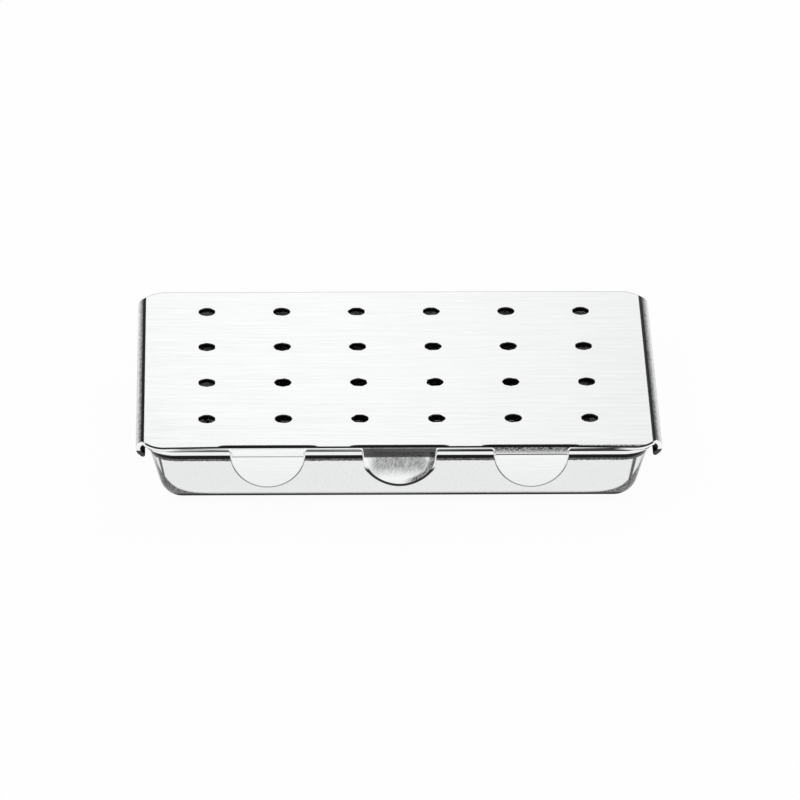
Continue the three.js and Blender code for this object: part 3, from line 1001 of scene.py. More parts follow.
@dataclass(frozen=True)
class Steel:
    """A stainless steel finish.

    Attributes:
        name: Name of the material.
        colour: Base colour of the bare metal.
        roughness: Mean roughness.
        grain: Direction of the brushing.
        painted_shade: Where shade and dark reflections are painted on the sheet, which is also rougher and
            grainier there.
        painted_shade_colour: Base colour there.
        painted_shade_roughness: Roughness added there.
        grain_fineness: Strokes to the metre across the grain.
        grain_detail: How ragged the strokes are.
        grain_span: Noise values between which they run.
        grain_depth: Strength of the strokes' bump.
        streaks: How much the brushing varies the roughness.
        shade: How much the brushing darkens the metal.
        wave_fineness: Waves to the metre in the sheet.
        wave_height: Height of the waves.
        waviness: Strength of the waves' bump.
        peel_fineness: Grains to the metre in the unevenness that forming leaves.
        peel: Strength of its bump.
        fine_height: Height of strokes and grains.
        smudges: Where handling clouds the shine.
    """

    name: str
    colour: tuple[float, float, float]
    roughness: float
    grain: Grain
    # painted shade and painted reflections, with a near black colour and more roughness there
    painted_shade: PaintedShade = no_painted_shade
    painted_shade_colour: tuple[float, float, float] = (0.012, 0.012, 0.013)
    painted_shade_roughness: float = 0.1
    grain_fineness: float = 90.0
    grain_detail: float = 4.0
    grain_span: Span = (0.3, 0.7)
    grain_depth: float = 0.04
    streaks: float = 0.02
    shade: float = 0.035
    wave_fineness: float = 45.0
    wave_height: float = 0.002
    waviness: float = 0.004
    peel_fineness: float = 2600.0
    peel: float = 0.3
    fine_height: float = 0.0001
    smudges: Blotches = Blotches(90.0, 3.0, (0.35, 0.7, 0.0, 0.02))

    def material(self) -> bpy.types.Material:
        """Builds the node material.

        Returns:
            The material.
        """
        made = bpy.data.materials.new(self.name)
        made.use_nodes = True
        nodes = Nodes(made.node_tree)
        shader = made.node_tree.nodes["Principled BSDF"]
        shader.inputs["Metallic"].default_value = 1.0
        place = nodes.place()
        strokes = nodes.noise(place, self.grain_fineness, self.grain_detail, self.grain.value)
        # how dark the painted shade and painted reflections make each place
        painted_shade = self.painted_shade(nodes)
        low, high = self.roughness - self.streaks, self.roughness + self.streaks
        rough = nodes.rise(strokes, *self.grain_span, low, high)
        rough = nodes.maths("ADD", rough, self.smudges.over(nodes, place))
        rough = nodes.maths("ADD", rough, nodes.product(painted_shade, self.painted_shade_roughness), clamp=True)
        nodes.feed(shader.inputs["Roughness"], rough)
        # base colour: painted shade darkens towards near black, and the brushing darkens a little
        painted_shade_and_grain = nodes.most(painted_shade, nodes.rise(strokes, *self.grain_span, 0.0, self.shade))
        nodes.feed(shader.inputs["Base Color"], nodes.tint(painted_shade_and_grain, self.colour, self.painted_shade_colour))
        wave = nodes.bump(nodes.noise(place, self.wave_fineness, 1.0), self.wave_height, self.waviness)
        grains = nodes.product(nodes.noise(place, self.peel_fineness, 2.0), painted_shade)
        peel = nodes.bump(grains, self.fine_height, self.peel, wave)
        nodes.feed(shader.inputs["Normal"], nodes.bump(strokes, self.fine_height, self.grain_depth, peel))
        return made


def dress(piece: bpy.types.Object, finish: Steel, body: str, slot: str, *nodes: str) -> None:
    """Gives a piece its finish and its body, and hides the frame's nodes that it stands for.

    Args:
        piece: The piece.
        finish: Its finish.
        body: The body that it moves with.
        slot: The record's material slot, which is not used.
        nodes: The frame's nodes that it replaces.
    """
    known = bpy.data.materials.get(finish.name)
    piece.data.materials.append(known or finish.material())
    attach(piece, body)
    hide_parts(*nodes)
    log.info("%s: %d vertices", piece.name, len(piece.data.vertices))


# The box


@dataclass(frozen=True)
class BoxSizes:
    """Driving dimensions that the lid, the tray and the rack share."""

    lid_length: float = 99.3
    lid_width: float = 65.6
    height: float = 15.4
    sheet: float = 0.9
    slide_gap: float = 0.4
    grip_gap: float = 0.3
    side_gap: float = 0.3
    rim_setback: float = 0.75

    @property
    def fold_radius(self) -> float:
        """Outer radius of the lid's side folds."""
        return (3 * self.sheet + self.slide_gap + self.grip_gap) / 2

    @property
    def fold_half_length(self) -> float:
        """Middle of the box to the outermost line of a side fold."""
        return self.lid_length / 2 + self.fold_radius

    @property
    def rim_half_length(self) -> float:
        """Middle of the box to the end edge of the tray's rim."""
        return self.fold_half_length - self.sheet - self.side_gap

    @property
    def rim_half_width(self) -> float:
        """Middle of the box to the front and back edges of the tray's rim."""
        return self.lid_width / 2 - self.rim_setback

    @property
    def lid_underside(self) -> float:
        """Height of the lid's underside."""
        return self.height - self.sheet


@dataclass(frozen=True)
class Tongue:
    """A half-round tongue that is bent down over the front of the rim by two creases.

    Attributes:
        middle: Place of its middle along the front.
        half_width: Half of its width, and the radius of its end.
        length: Run from the first crease to its tip.
        facet_angle: Slope between the creases, in degrees.
        knee_angle: Slope after the second crease.
        tip_angle: Slope at the tip.
        dish: How far its sides stand forward of its middle.
        dish_power: How flat the dish is in its middle.
        dish_growth: Share of the hanging part over which the dish grows to its depth.
        crease_radius: Outer radius of both creases.
        facet: Flat length between the creases.
        root_fillet: Fillet between its sides and the lid's front edge.
        run_out: Width beside it in which its first crease fades.
        end_steps: Steps of its round end.
        root_steps: Steps of its root fillets.
        row_steps: Steps in the first crease, the facet, the second crease and the hanging part.
    """

    middle: float
    half_width: float = 7.35
    length: float = 9.586
    facet_angle: float = 44.0
    knee_angle: float = 90.0
    tip_angle: float = 90.0
    dish: float = 0.0
    dish_power: float = 3.0
    dish_growth: float = 0.5
    crease_radius: float = 1.1
    facet: float = 1.5
    root_fillet: float = 0.45
    run_out: float = 3.0
    end_steps: int = 64
    root_steps: int = 5
    row_steps: tuple[int, ...] = (8, 3, 8, 12)

    @property
    def stops(self) -> tuple[float, ...]:
        """Adds up the lengths of the creases and the flats between them.

        Returns:
            The runs at which they start and end.
        """
        crease = self.crease_radius * math.radians(self.facet_angle)
        knee = crease + self.facet + self.crease_radius * math.radians(self.knee_angle - self.facet_angle)
        return 0.0, crease, crease + self.facet, knee, self.length

    @property
    def rows(self) -> list[float]:
        """Runs at which the tongue needs vertices."""
        spans = zip(self.stops, self.stops[1:], self.row_steps, strict=False)
        return [run for start, end, steps in spans for run in np.linspace(start, end, steps + 1)]

    def bend(self, offset: np.ndarray, run: np.ndarray) -> tuple[np.ndarray, np.ndarray]:
        """Where places on the tongue go when it is bent.

        Args:
            offset: Distances from the tongue's middle.
            run: Distances from the first crease towards the tip.

        Returns:
            How far forward of the first crease and how far down each place lies.
        """
        fade = 1 - smooth_step((np.abs(offset) - self.half_width) / self.run_out)
        facet, knee, tip = (math.radians(a) for a in (self.facet_angle, self.knee_angle, self.tip_angle))
        slopes = (0.0, facet), (facet, facet), (facet, knee), (knee, tip)
        forward, down = np.zeros_like(run), np.zeros_like(run)
        for begin, end, (first, last) in zip(self.stops, self.stops[1:], slopes, strict=False):
            stretch = np.clip(run - begin, 0, end - begin)
            a = fade * first
            b = fade * (first + (last - first) * stretch / (end - begin))
            straight = np.abs(b - a) < STRAIGHT
            bend = np.where(straight, 1.0, b - a)
            forward += stretch * np.where(straight, np.cos(a), (np.sin(b) - np.sin(a)) / bend)
            down += stretch * np.where(straight, np.sin(a), (np.cos(a) - np.cos(b)) / bend)
        hang = (run - self.stops[2]) / (self.length - self.stops[2])
        share = np.clip(np.abs(offset) / self.half_width, 0, 1)
        forward += self.dish * share**self.dish_power * smooth_step(hang / self.dish_growth)
        return forward, down

    def outline(self, front: float, crease_line: float) -> np.ndarray:
        """The tongue's edge on the blank, from left to right along the front edge of the lid.

        Args:
            front: Place of the lid's front edge.
            crease_line: Place of the first crease.

        Returns:
            The points of the edge.
        """
        left, right = self.middle - self.half_width, self.middle + self.half_width
        fillet = self.root_fillet
        end_middle = (self.middle, crease_line - self.length + self.half_width)
        return np.vstack([
            arc((left - fillet, front - fillet), fillet, QUARTER_TURN, 0, self.root_steps),
            arc(end_middle, self.half_width, math.pi, 2 * math.pi, self.end_steps),
            arc((right + fillet, front - fillet), fillet, math.pi, QUARTER_TURN, self.root_steps),
        ])


@dataclass
class SlidingLid:
    """The lid: a flat top with steam holes, side folds that grip the rim, and three tongues at the front."""

    sizes: BoxSizes
    finish: Steel
    corner_cut: float = 3.8
    corner_round: float = 4.2
    lip_reach: float = 1.85
    lip_corner: float = 0.6
    square_end: float = 0.65
    edge_round: float = 0.2
    tongue_wear: float = 0.4
    back_wear: float = 0.3
    hole_pitch: float = 15.0
    hole_diameter: float = 3.2
    hole_columns: int = 6
    hole_rows: int = 4
    hole_shift: float = 1.45
    crease_setback: float = 1.1
    fold_steps: int = 28
    cut_steps: int = 12
    fold_lattice: float = 30.0
    fold_rows: int = 31
    rows_behind_crease: tuple[float, ...] = (-0.4, -0.2)
    tongue_columns: int = 45
    tongues: list[Tongue] = field(default_factory=list)

    @property
    def bend_line(self) -> float:
        """Middle of the lid to the start of a side fold."""
        return self.sizes.lid_length / 2

    @property
    def crease_line(self) -> float:
        """Place of the tongues' first crease."""
        return -self.sizes.lid_width / 2 + self.crease_setback

    @property
    def fold_length(self) -> float:
        """Length of a side fold and its lip on the blank."""
        return math.pi * self.sizes.fold_radius + self.lip_reach - self.sizes.fold_radius

    def folded_x(self, over: np.ndarray) -> np.ndarray:
        """Where the side folds go in plan.

        Args:
            over: Lengths on the blank beyond the bend line.

        Returns:
            The distances from the middle of the lid.
        """
        radius = self.sizes.fold_radius
        turn = np.minimum(over / radius, math.pi)
        lip = np.clip(over - math.pi * radius, 0, None)
        return self.bend_line + radius * np.sin(turn) - lip

    def face(self, places: np.ndarray) -> np.ndarray:
        """The lid's outer face: the top, the side folds and the tongues.

        Args:
            places: Places on the blank.

        Returns:
            The points in space.
        """
        u, v = places[:, 0], places[:, 1]
        radius = self.sizes.fold_radius
        over = np.clip(np.abs(u) - self.bend_line, 0, None)
        x = np.where(over > 0, np.sign(u) * self.folded_x(over), u)
        y = v.copy()
        z = self.sizes.height - radius * (1 - np.cos(np.minimum(over / radius, math.pi)))
        for tongue in self.tongues:
            near = (np.abs(u - tongue.middle) < tongue.half_width + tongue.run_out) & (v < self.crease_line)
            forward, down = tongue.bend(u[near] - tongue.middle, self.crease_line - v[near])
            y[near] = self.crease_line - forward
            z[near] -= down
        return np.column_stack([x, y, z])

    def setback(self, x: np.ndarray) -> np.ndarray:
        """How far the cut corners draw the front and back edges in.

        Args:
            x: Places along the lid, from its middle.

        Returns:
            The distances from the uncut edges.
        """
        square = self.bend_line + self.square_end
        cut = np.minimum(x, square) - (self.sizes.fold_half_length - self.corner_cut)
        start = -self.corner_round * math.tan(EIGHTH_TURN / 2)
        away = np.clip(cut - start, 0, self.corner_round * math.sin(EIGHTH_TURN))
        rounding = self.corner_round - np.sqrt(self.corner_round**2 - away**2)
        return np.where(cut - start > away, cut, rounding)

    def blank_end(self) -> np.ndarray:
        """Outlines one end of the blank.

        Returns:
            Its points, from the front edge round the fold and its lip to the back edge.
        """
        last = self.fold_length - 2 * self.lip_corner
        over = np.append(np.linspace(0, last, self.fold_steps + 1)[1:], self.fold_length)
        flat = self.bend_line - np.linspace(self.corner_cut, 0, self.cut_steps + 1)
        along = np.concatenate([flat, self.bend_line + over])
        plan = np.concatenate([flat, self.folded_x(over)])
        lower = np.column_stack([along, self.setback(plan) - self.sizes.lid_width / 2])
        end = np.vstack([lower, lower[::-1] * [1, -1]])
        radii = np.zeros(len(end))
        radii[[len(lower) - 1, len(lower)]] = self.lip_corner
        return filleted(np.column_stack([end, radii]))

    def holes(self) -> list[np.ndarray]:
        """Places the steam holes.

        Returns:
            Their outlines.
        """
        columns = (np.arange(self.hole_columns) - (self.hole_columns - 1) / 2) * self.hole_pitch
        rows = (np.arange(self.hole_rows) - (self.hole_rows - 1) / 2) * self.hole_pitch + self.hole_shift
        return [circle(x, y, self.hole_diameter) for x, y in grid(columns, rows)]

    def wear(self, places: np.ndarray) -> np.ndarray:
        """How much rounder the tongues' edges and the back edge are than the lid's others.

        Args:
            places: Places on the blank's boundaries.

        Returns:
            The added radii.
        """
        hanging = (self.crease_line - places[:, 1] - self.sizes.sheet) / self.sizes.sheet
        inner = np.abs(places[:, 0]) < self.bend_line - self.corner_cut
        back = smooth_step((places[:, 1] - self.sizes.lid_width / 2) / self.corner_cut + 1)
        return np.where(inner, self.tongue_wear * smooth_step(hanging), 0) + self.back_wear * back**2

    def blank(self) -> Blank:
        """Puts the blank together.

        Returns:
            The lid's blank with its tongues, folds and steam holes.
        """
        front = -self.sizes.lid_width / 2
        right = self.blank_end()
        outline = np.vstack([*[t.outline(front, self.crease_line) for t in self.tongues], right, -right])
        runs = sorted([*self.rows_behind_crease, *[run for t in self.tongues for run in t.rows]])
        rows = self.crease_line - thinned(np.array(runs), NEAREST)
        columns = self.bend_line + np.linspace(0, self.fold_length, self.fold_steps + 1)
        outline = split_at(outline, 1, rows)
        outline = split_at(outline, 0, np.concatenate([columns, -columns]))
        fold_rows = np.linspace(-self.fold_lattice, self.fold_lattice, self.fold_rows)
        lattice = [grid(side * columns, fold_rows) for side in (-1, 1)]
        for tongue in self.tongues:
            reach = tongue.half_width + tongue.run_out
            lattice.append(grid(tongue.middle + np.linspace(-reach, reach, self.tongue_columns), rows))
        return Blank(
            outline, self.holes(), np.vstack(lattice), self.sizes.sheet, self.edge_round, self.face, self.wear
        )

    def build(self) -> None:
        """Makes and dresses the lid."""
        dress(self.blank().build("sliding_lid"), self.finish, "lid", "lid_steel", "lid")


@dataclass
class DrawnTray:
    """The tray: a section of floor, bend, drafted wall and rolled rim, carried round a rounded rectangle."""

    sizes: BoxSizes
    finish: Steel
    rim_corner: float = 6.25
    rim_roll_radius: float = 1.2
    rim_flat: float = 0.1
    rim_edge_round: float = 0.2
    wall_draft: float = 15.2
    bottom_bend: float = 6.6
    corner_softness: float = 1.5
    corner_steps: int = 24
    inner_bend_steps: int = 16
    outer_bend_steps: int = 20
    roll_steps: int = 12
    edge_steps: int = 5

    @property
    def rim_top(self) -> float:
        """Height of the rim's top face."""
        return self.sizes.lid_underside - self.sizes.slide_gap

    def section_arc(
        self, centre: tuple[float, float], radius: float, start: float, end: float, steps: int
    ) -> np.ndarray:
        """Rows of a section arc.

        Args:
            centre: Its middle, as inset from the rim's edge and height.
            radius: Its radius.
            start: First angle, in radians.
            end: Last angle.
            steps: Number of equal steps between them.

        Returns:
            The rows as (inset, height, tangent inset, tangent height).
        """
        angles = np.linspace(start, end, steps + 1)
        way = math.copysign(1, end - start)
        tangents = np.column_stack([-way * np.sin(angles), way * np.cos(angles)])
        return np.hstack([arc(centre, radius, start, end, steps), tangents])

    def bend_centre(self) -> tuple[float, float]:
        """Finds the centre of the bend between wall and floor.

        Returns:
            Its inset from the rim's edge and its height.
        """
        draft = math.radians(self.wall_draft)
        roll = self.rim_roll_radius
        top_x = self.rim_flat + roll * math.cos(draft)
        top_z = self.rim_top - roll - self.sizes.sheet + roll * math.sin(draft)
        run = top_z - self.bottom_bend * (1 - math.sin(draft))
        return top_x + run * math.tan(draft) + self.bottom_bend * math.cos(draft), self.bottom_bend

    def section(self) -> np.ndarray:
        """Puts the closed section together.

        Returns:
            Its rows, from the floor up the inside, over the rim and down the outside.
        """
        sheet, edge, roll = self.sizes.sheet, self.rim_edge_round, self.rim_roll_radius
        draft = math.radians(self.wall_draft)
        wall_side = draft - math.pi
        top, under = self.rim_top, self.rim_top - sheet
        bend, centre = self.bend_centre(), (self.rim_flat, under - roll)
        return np.vstack([
            self.section_arc(bend, self.bottom_bend - sheet, -QUARTER_TURN, wall_side, self.inner_bend_steps),
            self.section_arc(centre, roll + sheet, draft, QUARTER_TURN, self.roll_steps),
            self.section_arc((edge, top - edge), edge, QUARTER_TURN, math.pi, self.edge_steps),
            self.section_arc((edge, under + edge), edge, math.pi, 3 * QUARTER_TURN, self.edge_steps),
            self.section_arc(centre, roll, QUARTER_TURN, draft, self.roll_steps),
            self.section_arc(bend, self.bottom_bend, wall_side, -QUARTER_TURN, self.outer_bend_steps),
        ])

    def ring(self, row: np.ndarray) -> tuple[np.ndarray, np.ndarray]:
        """Points and normals of one row of the section, carried round the plan.

        Args:
            row: The row as (inset, height, tangent inset, tangent height).

        Returns:
            The points and the unit normals of the ring.
        """
        inset, height, lean, rise = row
        left = self.rim_corner - inset
        reach = math.hypot(left, 2 * self.corner_softness)
        radius = (left + reach) / 2
        growth = -(1 + left / reach) / 2
        half_length = self.sizes.rim_half_length - inset - radius
        half_width = self.sizes.rim_half_width - inset - radius
        points, normals = [], []
        for quarter, (side, end) in enumerate(((1, 1), (-1, 1), (-1, -1), (1, -1))):
            for share in np.linspace(0, 1, self.corner_steps + 1):
                angle = (quarter + share) * QUARTER_TURN
                c, s = math.cos(angle), math.sin(angle)
                points.append((side * half_length + radius * c, end * half_width + radius * s, height))
                spread = lean * (growth - (1 + growth) * (side * c + end * s))
                normals.append((-rise * c, -rise * s, spread))
        found = np.array(normals)
        return np.array(points), found / np.linalg.norm(found, axis=1)[:, None]

    def build(self) -> None:
        """Makes and dresses the tray."""
        points, normals = zip(*[self.ring(row) for row in self.section()], strict=True)
        count = len(points[0])
        rings = [i * count + np.arange(count) for i in range(len(points))]
        faces = [face for upper, lower in zip(rings, rings[1:], strict=False) for face in band(lower, upper)]
        faces += [tuple(rings[0].tolist()), tuple(rings[-1][::-1].tolist())]
        piece = smooth_piece("drawn_tray", np.vstack(points), faces, np.vstack(normals))
        dress(piece, self.finish, "tray", "tray_steel", "tray")


@dataclass(frozen=True)
class RackSizes:
    """Driving dimensions of the drop-in rack, with what they give inside a tray."""

    box: BoxSizes
    floor_half_length: float
    floor_half_width: float
    sheet: float = 0.8
    play: float = 2.3
    bend: float = 1.2
    bend_steps: int = 8
    foot_height: float = 1.4
    comb_end_inset: float = 3.2
    comb_edge_inset: float = 2.0
    comb_width: float = 10.0
    comb_top_gap: float = 1.2
    ear_top_gap: float = 4.2
    rivet_end_inset: float = 5.0
    rivet_hole: float = 1.8
    rivet_hole_steps: int = 20
    drain_hole: float = 3.0
    drain_hole_steps: int = 24
    edge_round: float = 0.12

    @property
    def half_length(self) -> float:
        """Middle of the rack to the outer face of an ear."""
        return self.floor_half_length - self.play

    @property
    def half_width(self) -> float:
        """Middle of the rack to the outer face of a foot."""
        return self.floor_half_width - self.play

    @property
    def plate_top(self) -> float:
        """Height of the plate's top face."""
        return self.box.sheet + self.foot_height + self.sheet

    @property
    def comb_half_length(self) -> float:
        """Half of a channel's length."""
        return self.half_length - self.comb_end_inset

    @property
    def comb_middle(self) -> float:
        """Middle of the rack to the middle of a channel."""
        return self.half_width - self.comb_edge_inset - self.comb_width / 2

    @property
    def rivet_pitch(self) -> float:
        """Distance between a channel's rivets."""
        return self.comb_half_length - self.rivet_end_inset

    def channel_holes(self, y: float) -> list[np.ndarray]:
        """Rivet and drain holes of one channel.

        Args:
            y: Middle of the channel.

        Returns:
            The holes' outlines.
        """
        rivets = [circle(i * self.rivet_pitch, y, self.rivet_hole, self.rivet_hole_steps) for i in (-1, 0, 1)]
        half = self.rivet_pitch / 2
        drains = [circle(i * half, y, self.drain_hole, self.drain_hole_steps) for i in (-1, 1)]
        return rivets + drains


def turned(over: np.ndarray, radius: float) -> tuple[np.ndarray, np.ndarray]:
    """Bends lengths beyond a bend line round a quarter turn and then straight on.

    Args:
        over: Lengths beyond the bend line.
        radius: Radius of the bend on the mapped face.

    Returns:
        The distances along the old and along the new direction.
    """
    turn = np.clip(over / radius, 0, QUARTER_TURN)
    straight = np.clip(over - QUARTER_TURN * radius, 0, None)
    return radius * np.sin(turn), radius * (1 - np.cos(turn)) + straight


@dataclass
class RackPlate:
    """The rack's plate: feet turned down along its long sides, and a lifting ear turned up at each end."""

    sizes: RackSizes
    finish: Steel
    corner: float = 2.0
    corner_round: float = 0.5
    foot_round: float = 0.4
    heel: float = 1.0
    heel_round: float = 0.3
    shoulder: float = 0.6
    shoulder_round: float = 0.8
    ear_root: float = 0.8
    ear_root_round: float = 0.3
    ear_half_width: float = 8.0
    ear_round: float = 6.8
    ear_hole: float = 5.0
    ear_hole_drop: float = 4.0
    ear_bend_steps: int = 6
    ear_lattice: float = 7.0
    ear_rows: int = 15
    foot_columns: int = 36
    slot_half_length: float = 4.0
    slot_half_width: float = 2.0
    slot_round_share: float = 0.999
    slot_round_steps: int = 8
    slot_pitch: float = 12.0
    slot_count: int = 5
    slot_row_pitch: float = 7.0

    @property
    def flat(self) -> tuple[float, float]:
        """Middle of the plate to the start of an ear's bend and of a foot's bend."""
        return self.sizes.half_length - self.sizes.bend, self.sizes.half_width - self.sizes.bend

    def face(self, places: np.ndarray) -> np.ndarray:
        """The plate's top face, with feet and ears.

        Args:
            places: Places on the blank.

        Returns:
            The points in space.
        """
        sizes = self.sizes
        u, v = places[:, 0], places[:, 1]
        flat_x, flat_y = self.flat
        along, up = turned(np.clip(np.abs(u) - flat_x, 0, None), sizes.bend - sizes.sheet)
        across, down = turned(np.clip(np.abs(v) - flat_y, 0, None), sizes.bend)
        x = np.where(np.abs(u) > flat_x, np.sign(u) * (flat_x + along), u)
        y = np.where(np.abs(v) > flat_y, np.sign(v) * (flat_y + across), v)
        return np.column_stack([x, y, sizes.plate_top + up - down])

    def outline(self, ear: float, foot: float) -> np.ndarray:
        """The plate's outer boundary.

        Args:
            ear: Middle of the blank to the end of an ear.
            foot: Middle of the blank to the edge of a foot.

        Returns:
            The points of the boundary.
        """
        flat_x, flat_y = self.flat
        side = self.ear_half_width
        quarter = [
            (flat_x - self.corner, -foot, self.foot_round),
            (flat_x - self.corner, self.heel - foot, self.heel_round),
            (flat_x - self.shoulder, -flat_y, self.shoulder_round),
            (flat_x, self.corner - flat_y, self.corner_round),
            (flat_x, -side, self.ear_root_round),
            (flat_x + self.ear_root, -side, 0.0),
            (ear, -side, self.ear_round),
        ]
        right = quarter + [(x, -y, r) for x, y, r in reversed(quarter)]
        return filleted(right + [(-x, -y, r) for x, y, r in right])

    def slots(self) -> list[np.ndarray]:
        """Places the drain slots.

        Returns:
            Their outlines.
        """
        length, width = self.slot_half_length, self.slot_half_width
        radius = width * self.slot_round_share
        corners = (-length, width), (length, width), (length, -width), (-length, -width)
        columns = (np.arange(self.slot_count) - (self.slot_count - 1) / 2) * self.slot_pitch
        places = grid(columns, np.array([-self.slot_row_pitch / 2, self.slot_row_pitch / 2]))
        boxes = [[(x + i, y + j, radius) for i, j in corners] for x, y in places]
        return [filleted(box, self.slot_round_steps) for box in boxes]

    def build(self) -> None:
        """Makes and dresses the plate."""
        sizes = self.sizes
        flat_x, flat_y = self.flat
        inner = sizes.bend - sizes.sheet
        foot = flat_y + QUARTER_TURN * sizes.bend + sizes.plate_top - sizes.bend - sizes.box.sheet
        ear_top = sizes.box.lid_underside - sizes.ear_top_gap
        ear = flat_x + QUARTER_TURN * inner + ear_top - sizes.plate_top - inner
        ear_bends = flat_x + np.linspace(0, QUARTER_TURN * inner, self.ear_bend_steps + 1)
        foot_bends = flat_y + np.linspace(0, QUARTER_TURN * sizes.bend, sizes.bend_steps + 1)
        outline = split_at(self.outline(ear, foot), 0, np.concatenate([ear_bends, -ear_bends]))
        outline = split_at(outline, 1, np.concatenate([foot_bends, -foot_bends]))
        rows = np.linspace(-self.ear_lattice, self.ear_lattice, self.ear_rows)
        columns = np.linspace(self.corner - flat_x, flat_x - self.corner, self.foot_columns)
        lattice = [grid(end * ear_bends, rows) for end in (-1, 1)]
        lattice += [grid(columns, end * foot_bends) for end in (-1, 1)]
        holes = self.slots()
        holes += [circle(end * (ear - self.ear_hole_drop), 0, self.ear_hole) for end in (-1, 1)]
        holes += [hole for end in (-1, 1) for hole in sizes.channel_holes(end * sizes.comb_middle)]
        blank = Blank(outline, holes, np.vstack(lattice), sizes.sheet, sizes.edge_round, self.face)
        dress(blank.build("bur_rack_plate"), self.finish, "tray", "rack_steel", "rack_plate")


@dataclass
class CombChannel:
    """A channel whose two webs are notched to hold a row of burs by their shanks."""

    sizes: RackSizes
    finish: Steel
    place: str
    middle: float
    shank: float
    notch_pitch: float = 6.0
    notch_count: int = 11
    notch_depth: float = 4.0
    notch_round_share: float = 0.99
    clearance: float = 0.3
    mouth_round: float = 0.35
    web_corner: float = 0.8
    round_steps: int = 6
    columns: int = 72

    @property
    def flat(self) -> float:
        """Middle of the channel to the start of a web's bend."""
        return self.sizes.comb_width / 2 - self.sizes.bend

    def face(self, places: np.ndarray) -> np.ndarray:
        """The channel's outer face, seen from below: the floor with a web turned up on each side.

        Args:
            places: Places on the blank.

        Returns:
            The points in space.
        """
        u, v = places[:, 0], places[:, 1]
        across, up = turned(np.clip(np.abs(v) - self.flat, 0, None), self.sizes.bend)
        y = np.where(np.abs(v) > self.flat, np.sign(v) * (self.flat + across), v)
        return np.column_stack([u, self.middle - y, self.sizes.plate_top + up])

    def outline(self) -> np.ndarray:
        """Outlines the channel's blank.

        Returns:
            The points of its outer boundary, with the notches.
        """
        sizes = self.sizes
        top = sizes.box.lid_underside - sizes.comb_top_gap
        edge = self.flat + QUARTER_TURN * sizes.bend + top - sizes.plate_top - sizes.bend
        half = (self.shank + self.clearance) / 2
        bottom, bottom_round = edge - self.notch_depth, half * self.notch_round_share
        notch = [
            (-half, edge, self.mouth_round), (-half, bottom, bottom_round),
            (half, bottom, bottom_round), (half, edge, self.mouth_round),
        ]
        upper = [(sizes.comb_half_length, edge, self.web_corner)]
        for i in reversed(range(self.notch_count)):
            x = (i - (self.notch_count - 1) / 2) * self.notch_pitch
            upper += [(x - nx, ny, r) for nx, ny, r in notch]
        upper.append((-sizes.comb_half_length, edge, self.web_corner))
        return filleted(upper + [(-x, -y, r) for x, y, r in upper], self.round_steps)

    def build(self) -> None:
        """Makes and dresses the channel."""
        sizes = self.sizes
        bends = self.flat + np.linspace(0, QUARTER_TURN * sizes.bend, sizes.bend_steps + 1)
        outline = split_at(self.outline(), 1, np.concatenate([bends, -bends]))
        columns = np.linspace(-sizes.comb_half_length, sizes.comb_half_length, self.columns)
        lattice = [grid(columns, side * bends) for side in (-1, 1)]
        holes = [(hole * [1, -1])[::-1] for hole in sizes.channel_holes(0)]
        blank = Blank(outline, holes, np.vstack(lattice), sizes.sheet, sizes.edge_round, self.face)
        node = f"comb_channel_{self.place}"
        dress(blank.build(f"notched_{node}"), self.finish, "tray", "rack_steel", node)


@dataclass
class Rivet:
    """A rivet with a domed head on a channel's floor and a flattened tail under the plate."""

    sizes: RackSizes
    finish: Steel
    shank: float = 1.6
    head: float = 3.2
    head_height: float = 0.7
    head_steps: int = 10
    tail: float = 2.6
    tail_height: float = 0.5
    tail_chamfer: float = 0.25
    steps: int = 36
    sharp_angle: float = 30.0

    def profile(self) -> np.ndarray:
        """Puts the rivet's half section together.

        Returns:
            Its points from the bottom up, as (radius, height above the plate's underside).
        """
        grip = 2 * self.sizes.sheet
        dome = ((self.head / 2) ** 2 + self.head_height**2) / (2 * self.head_height)
        span = math.asin(self.head / 2 / dome)
        middle = (0, grip + self.head_height - dome)
        cap = arc(middle, dome, QUARTER_TURN - span, QUARTER_TURN, self.head_steps)
        flat = [
            (0, -self.tail_height), (self.tail / 2 - self.tail_chamfer, -self.tail_height),
            (self.tail / 2, self.tail_chamfer - self.tail_height), (self.tail / 2, 0),
            (self.shank / 2, 0), (self.shank / 2, grip),
        ]
        return np.vstack([flat, cap])

    def build(self, name: str, node: str, x: float, y: float) -> None:
        """Makes and dresses one rivet.

        Args:
            name: Name of the piece.
            node: Node that it stands for.
            x: Its place along the channel.
            y: Its place across the box.
        """
        (_, tail), *rows, (_, crown) = self.profile() + [0, self.sizes.plate_top - self.sizes.sheet]
        points = [(x, y, tail)]
        for radius, height in rows:
            for angle in np.linspace(0, 2 * math.pi, self.steps, endpoint=False):
                points.append((x + radius * math.cos(angle), y + radius * math.sin(angle), height))
        points.append((x, y, crown))
        rings = [1 + i * self.steps + np.arange(self.steps) for i in range(len(rows))]
        first, last, top = rings[0].tolist(), rings[-1].tolist(), len(points) - 1
        faces = [(0, b, a) for a, b in zip(first, first[1:] + first[:1], strict=True)]
        faces += [face for lower, upper in zip(rings, rings[1:], strict=False) for face in band(lower, upper)]
        faces += [(a, b, top) for a, b in zip(last, last[1:] + last[:1], strict=True)]
        mesh = plain_mesh(name, (np.array(points) * MM).tolist(), faces)
        mesh.set_sharp_from_angle(angle=math.radians(self.sharp_angle))
        dress(linked(name, mesh), self.finish, "tray", "rivet_steel", node)


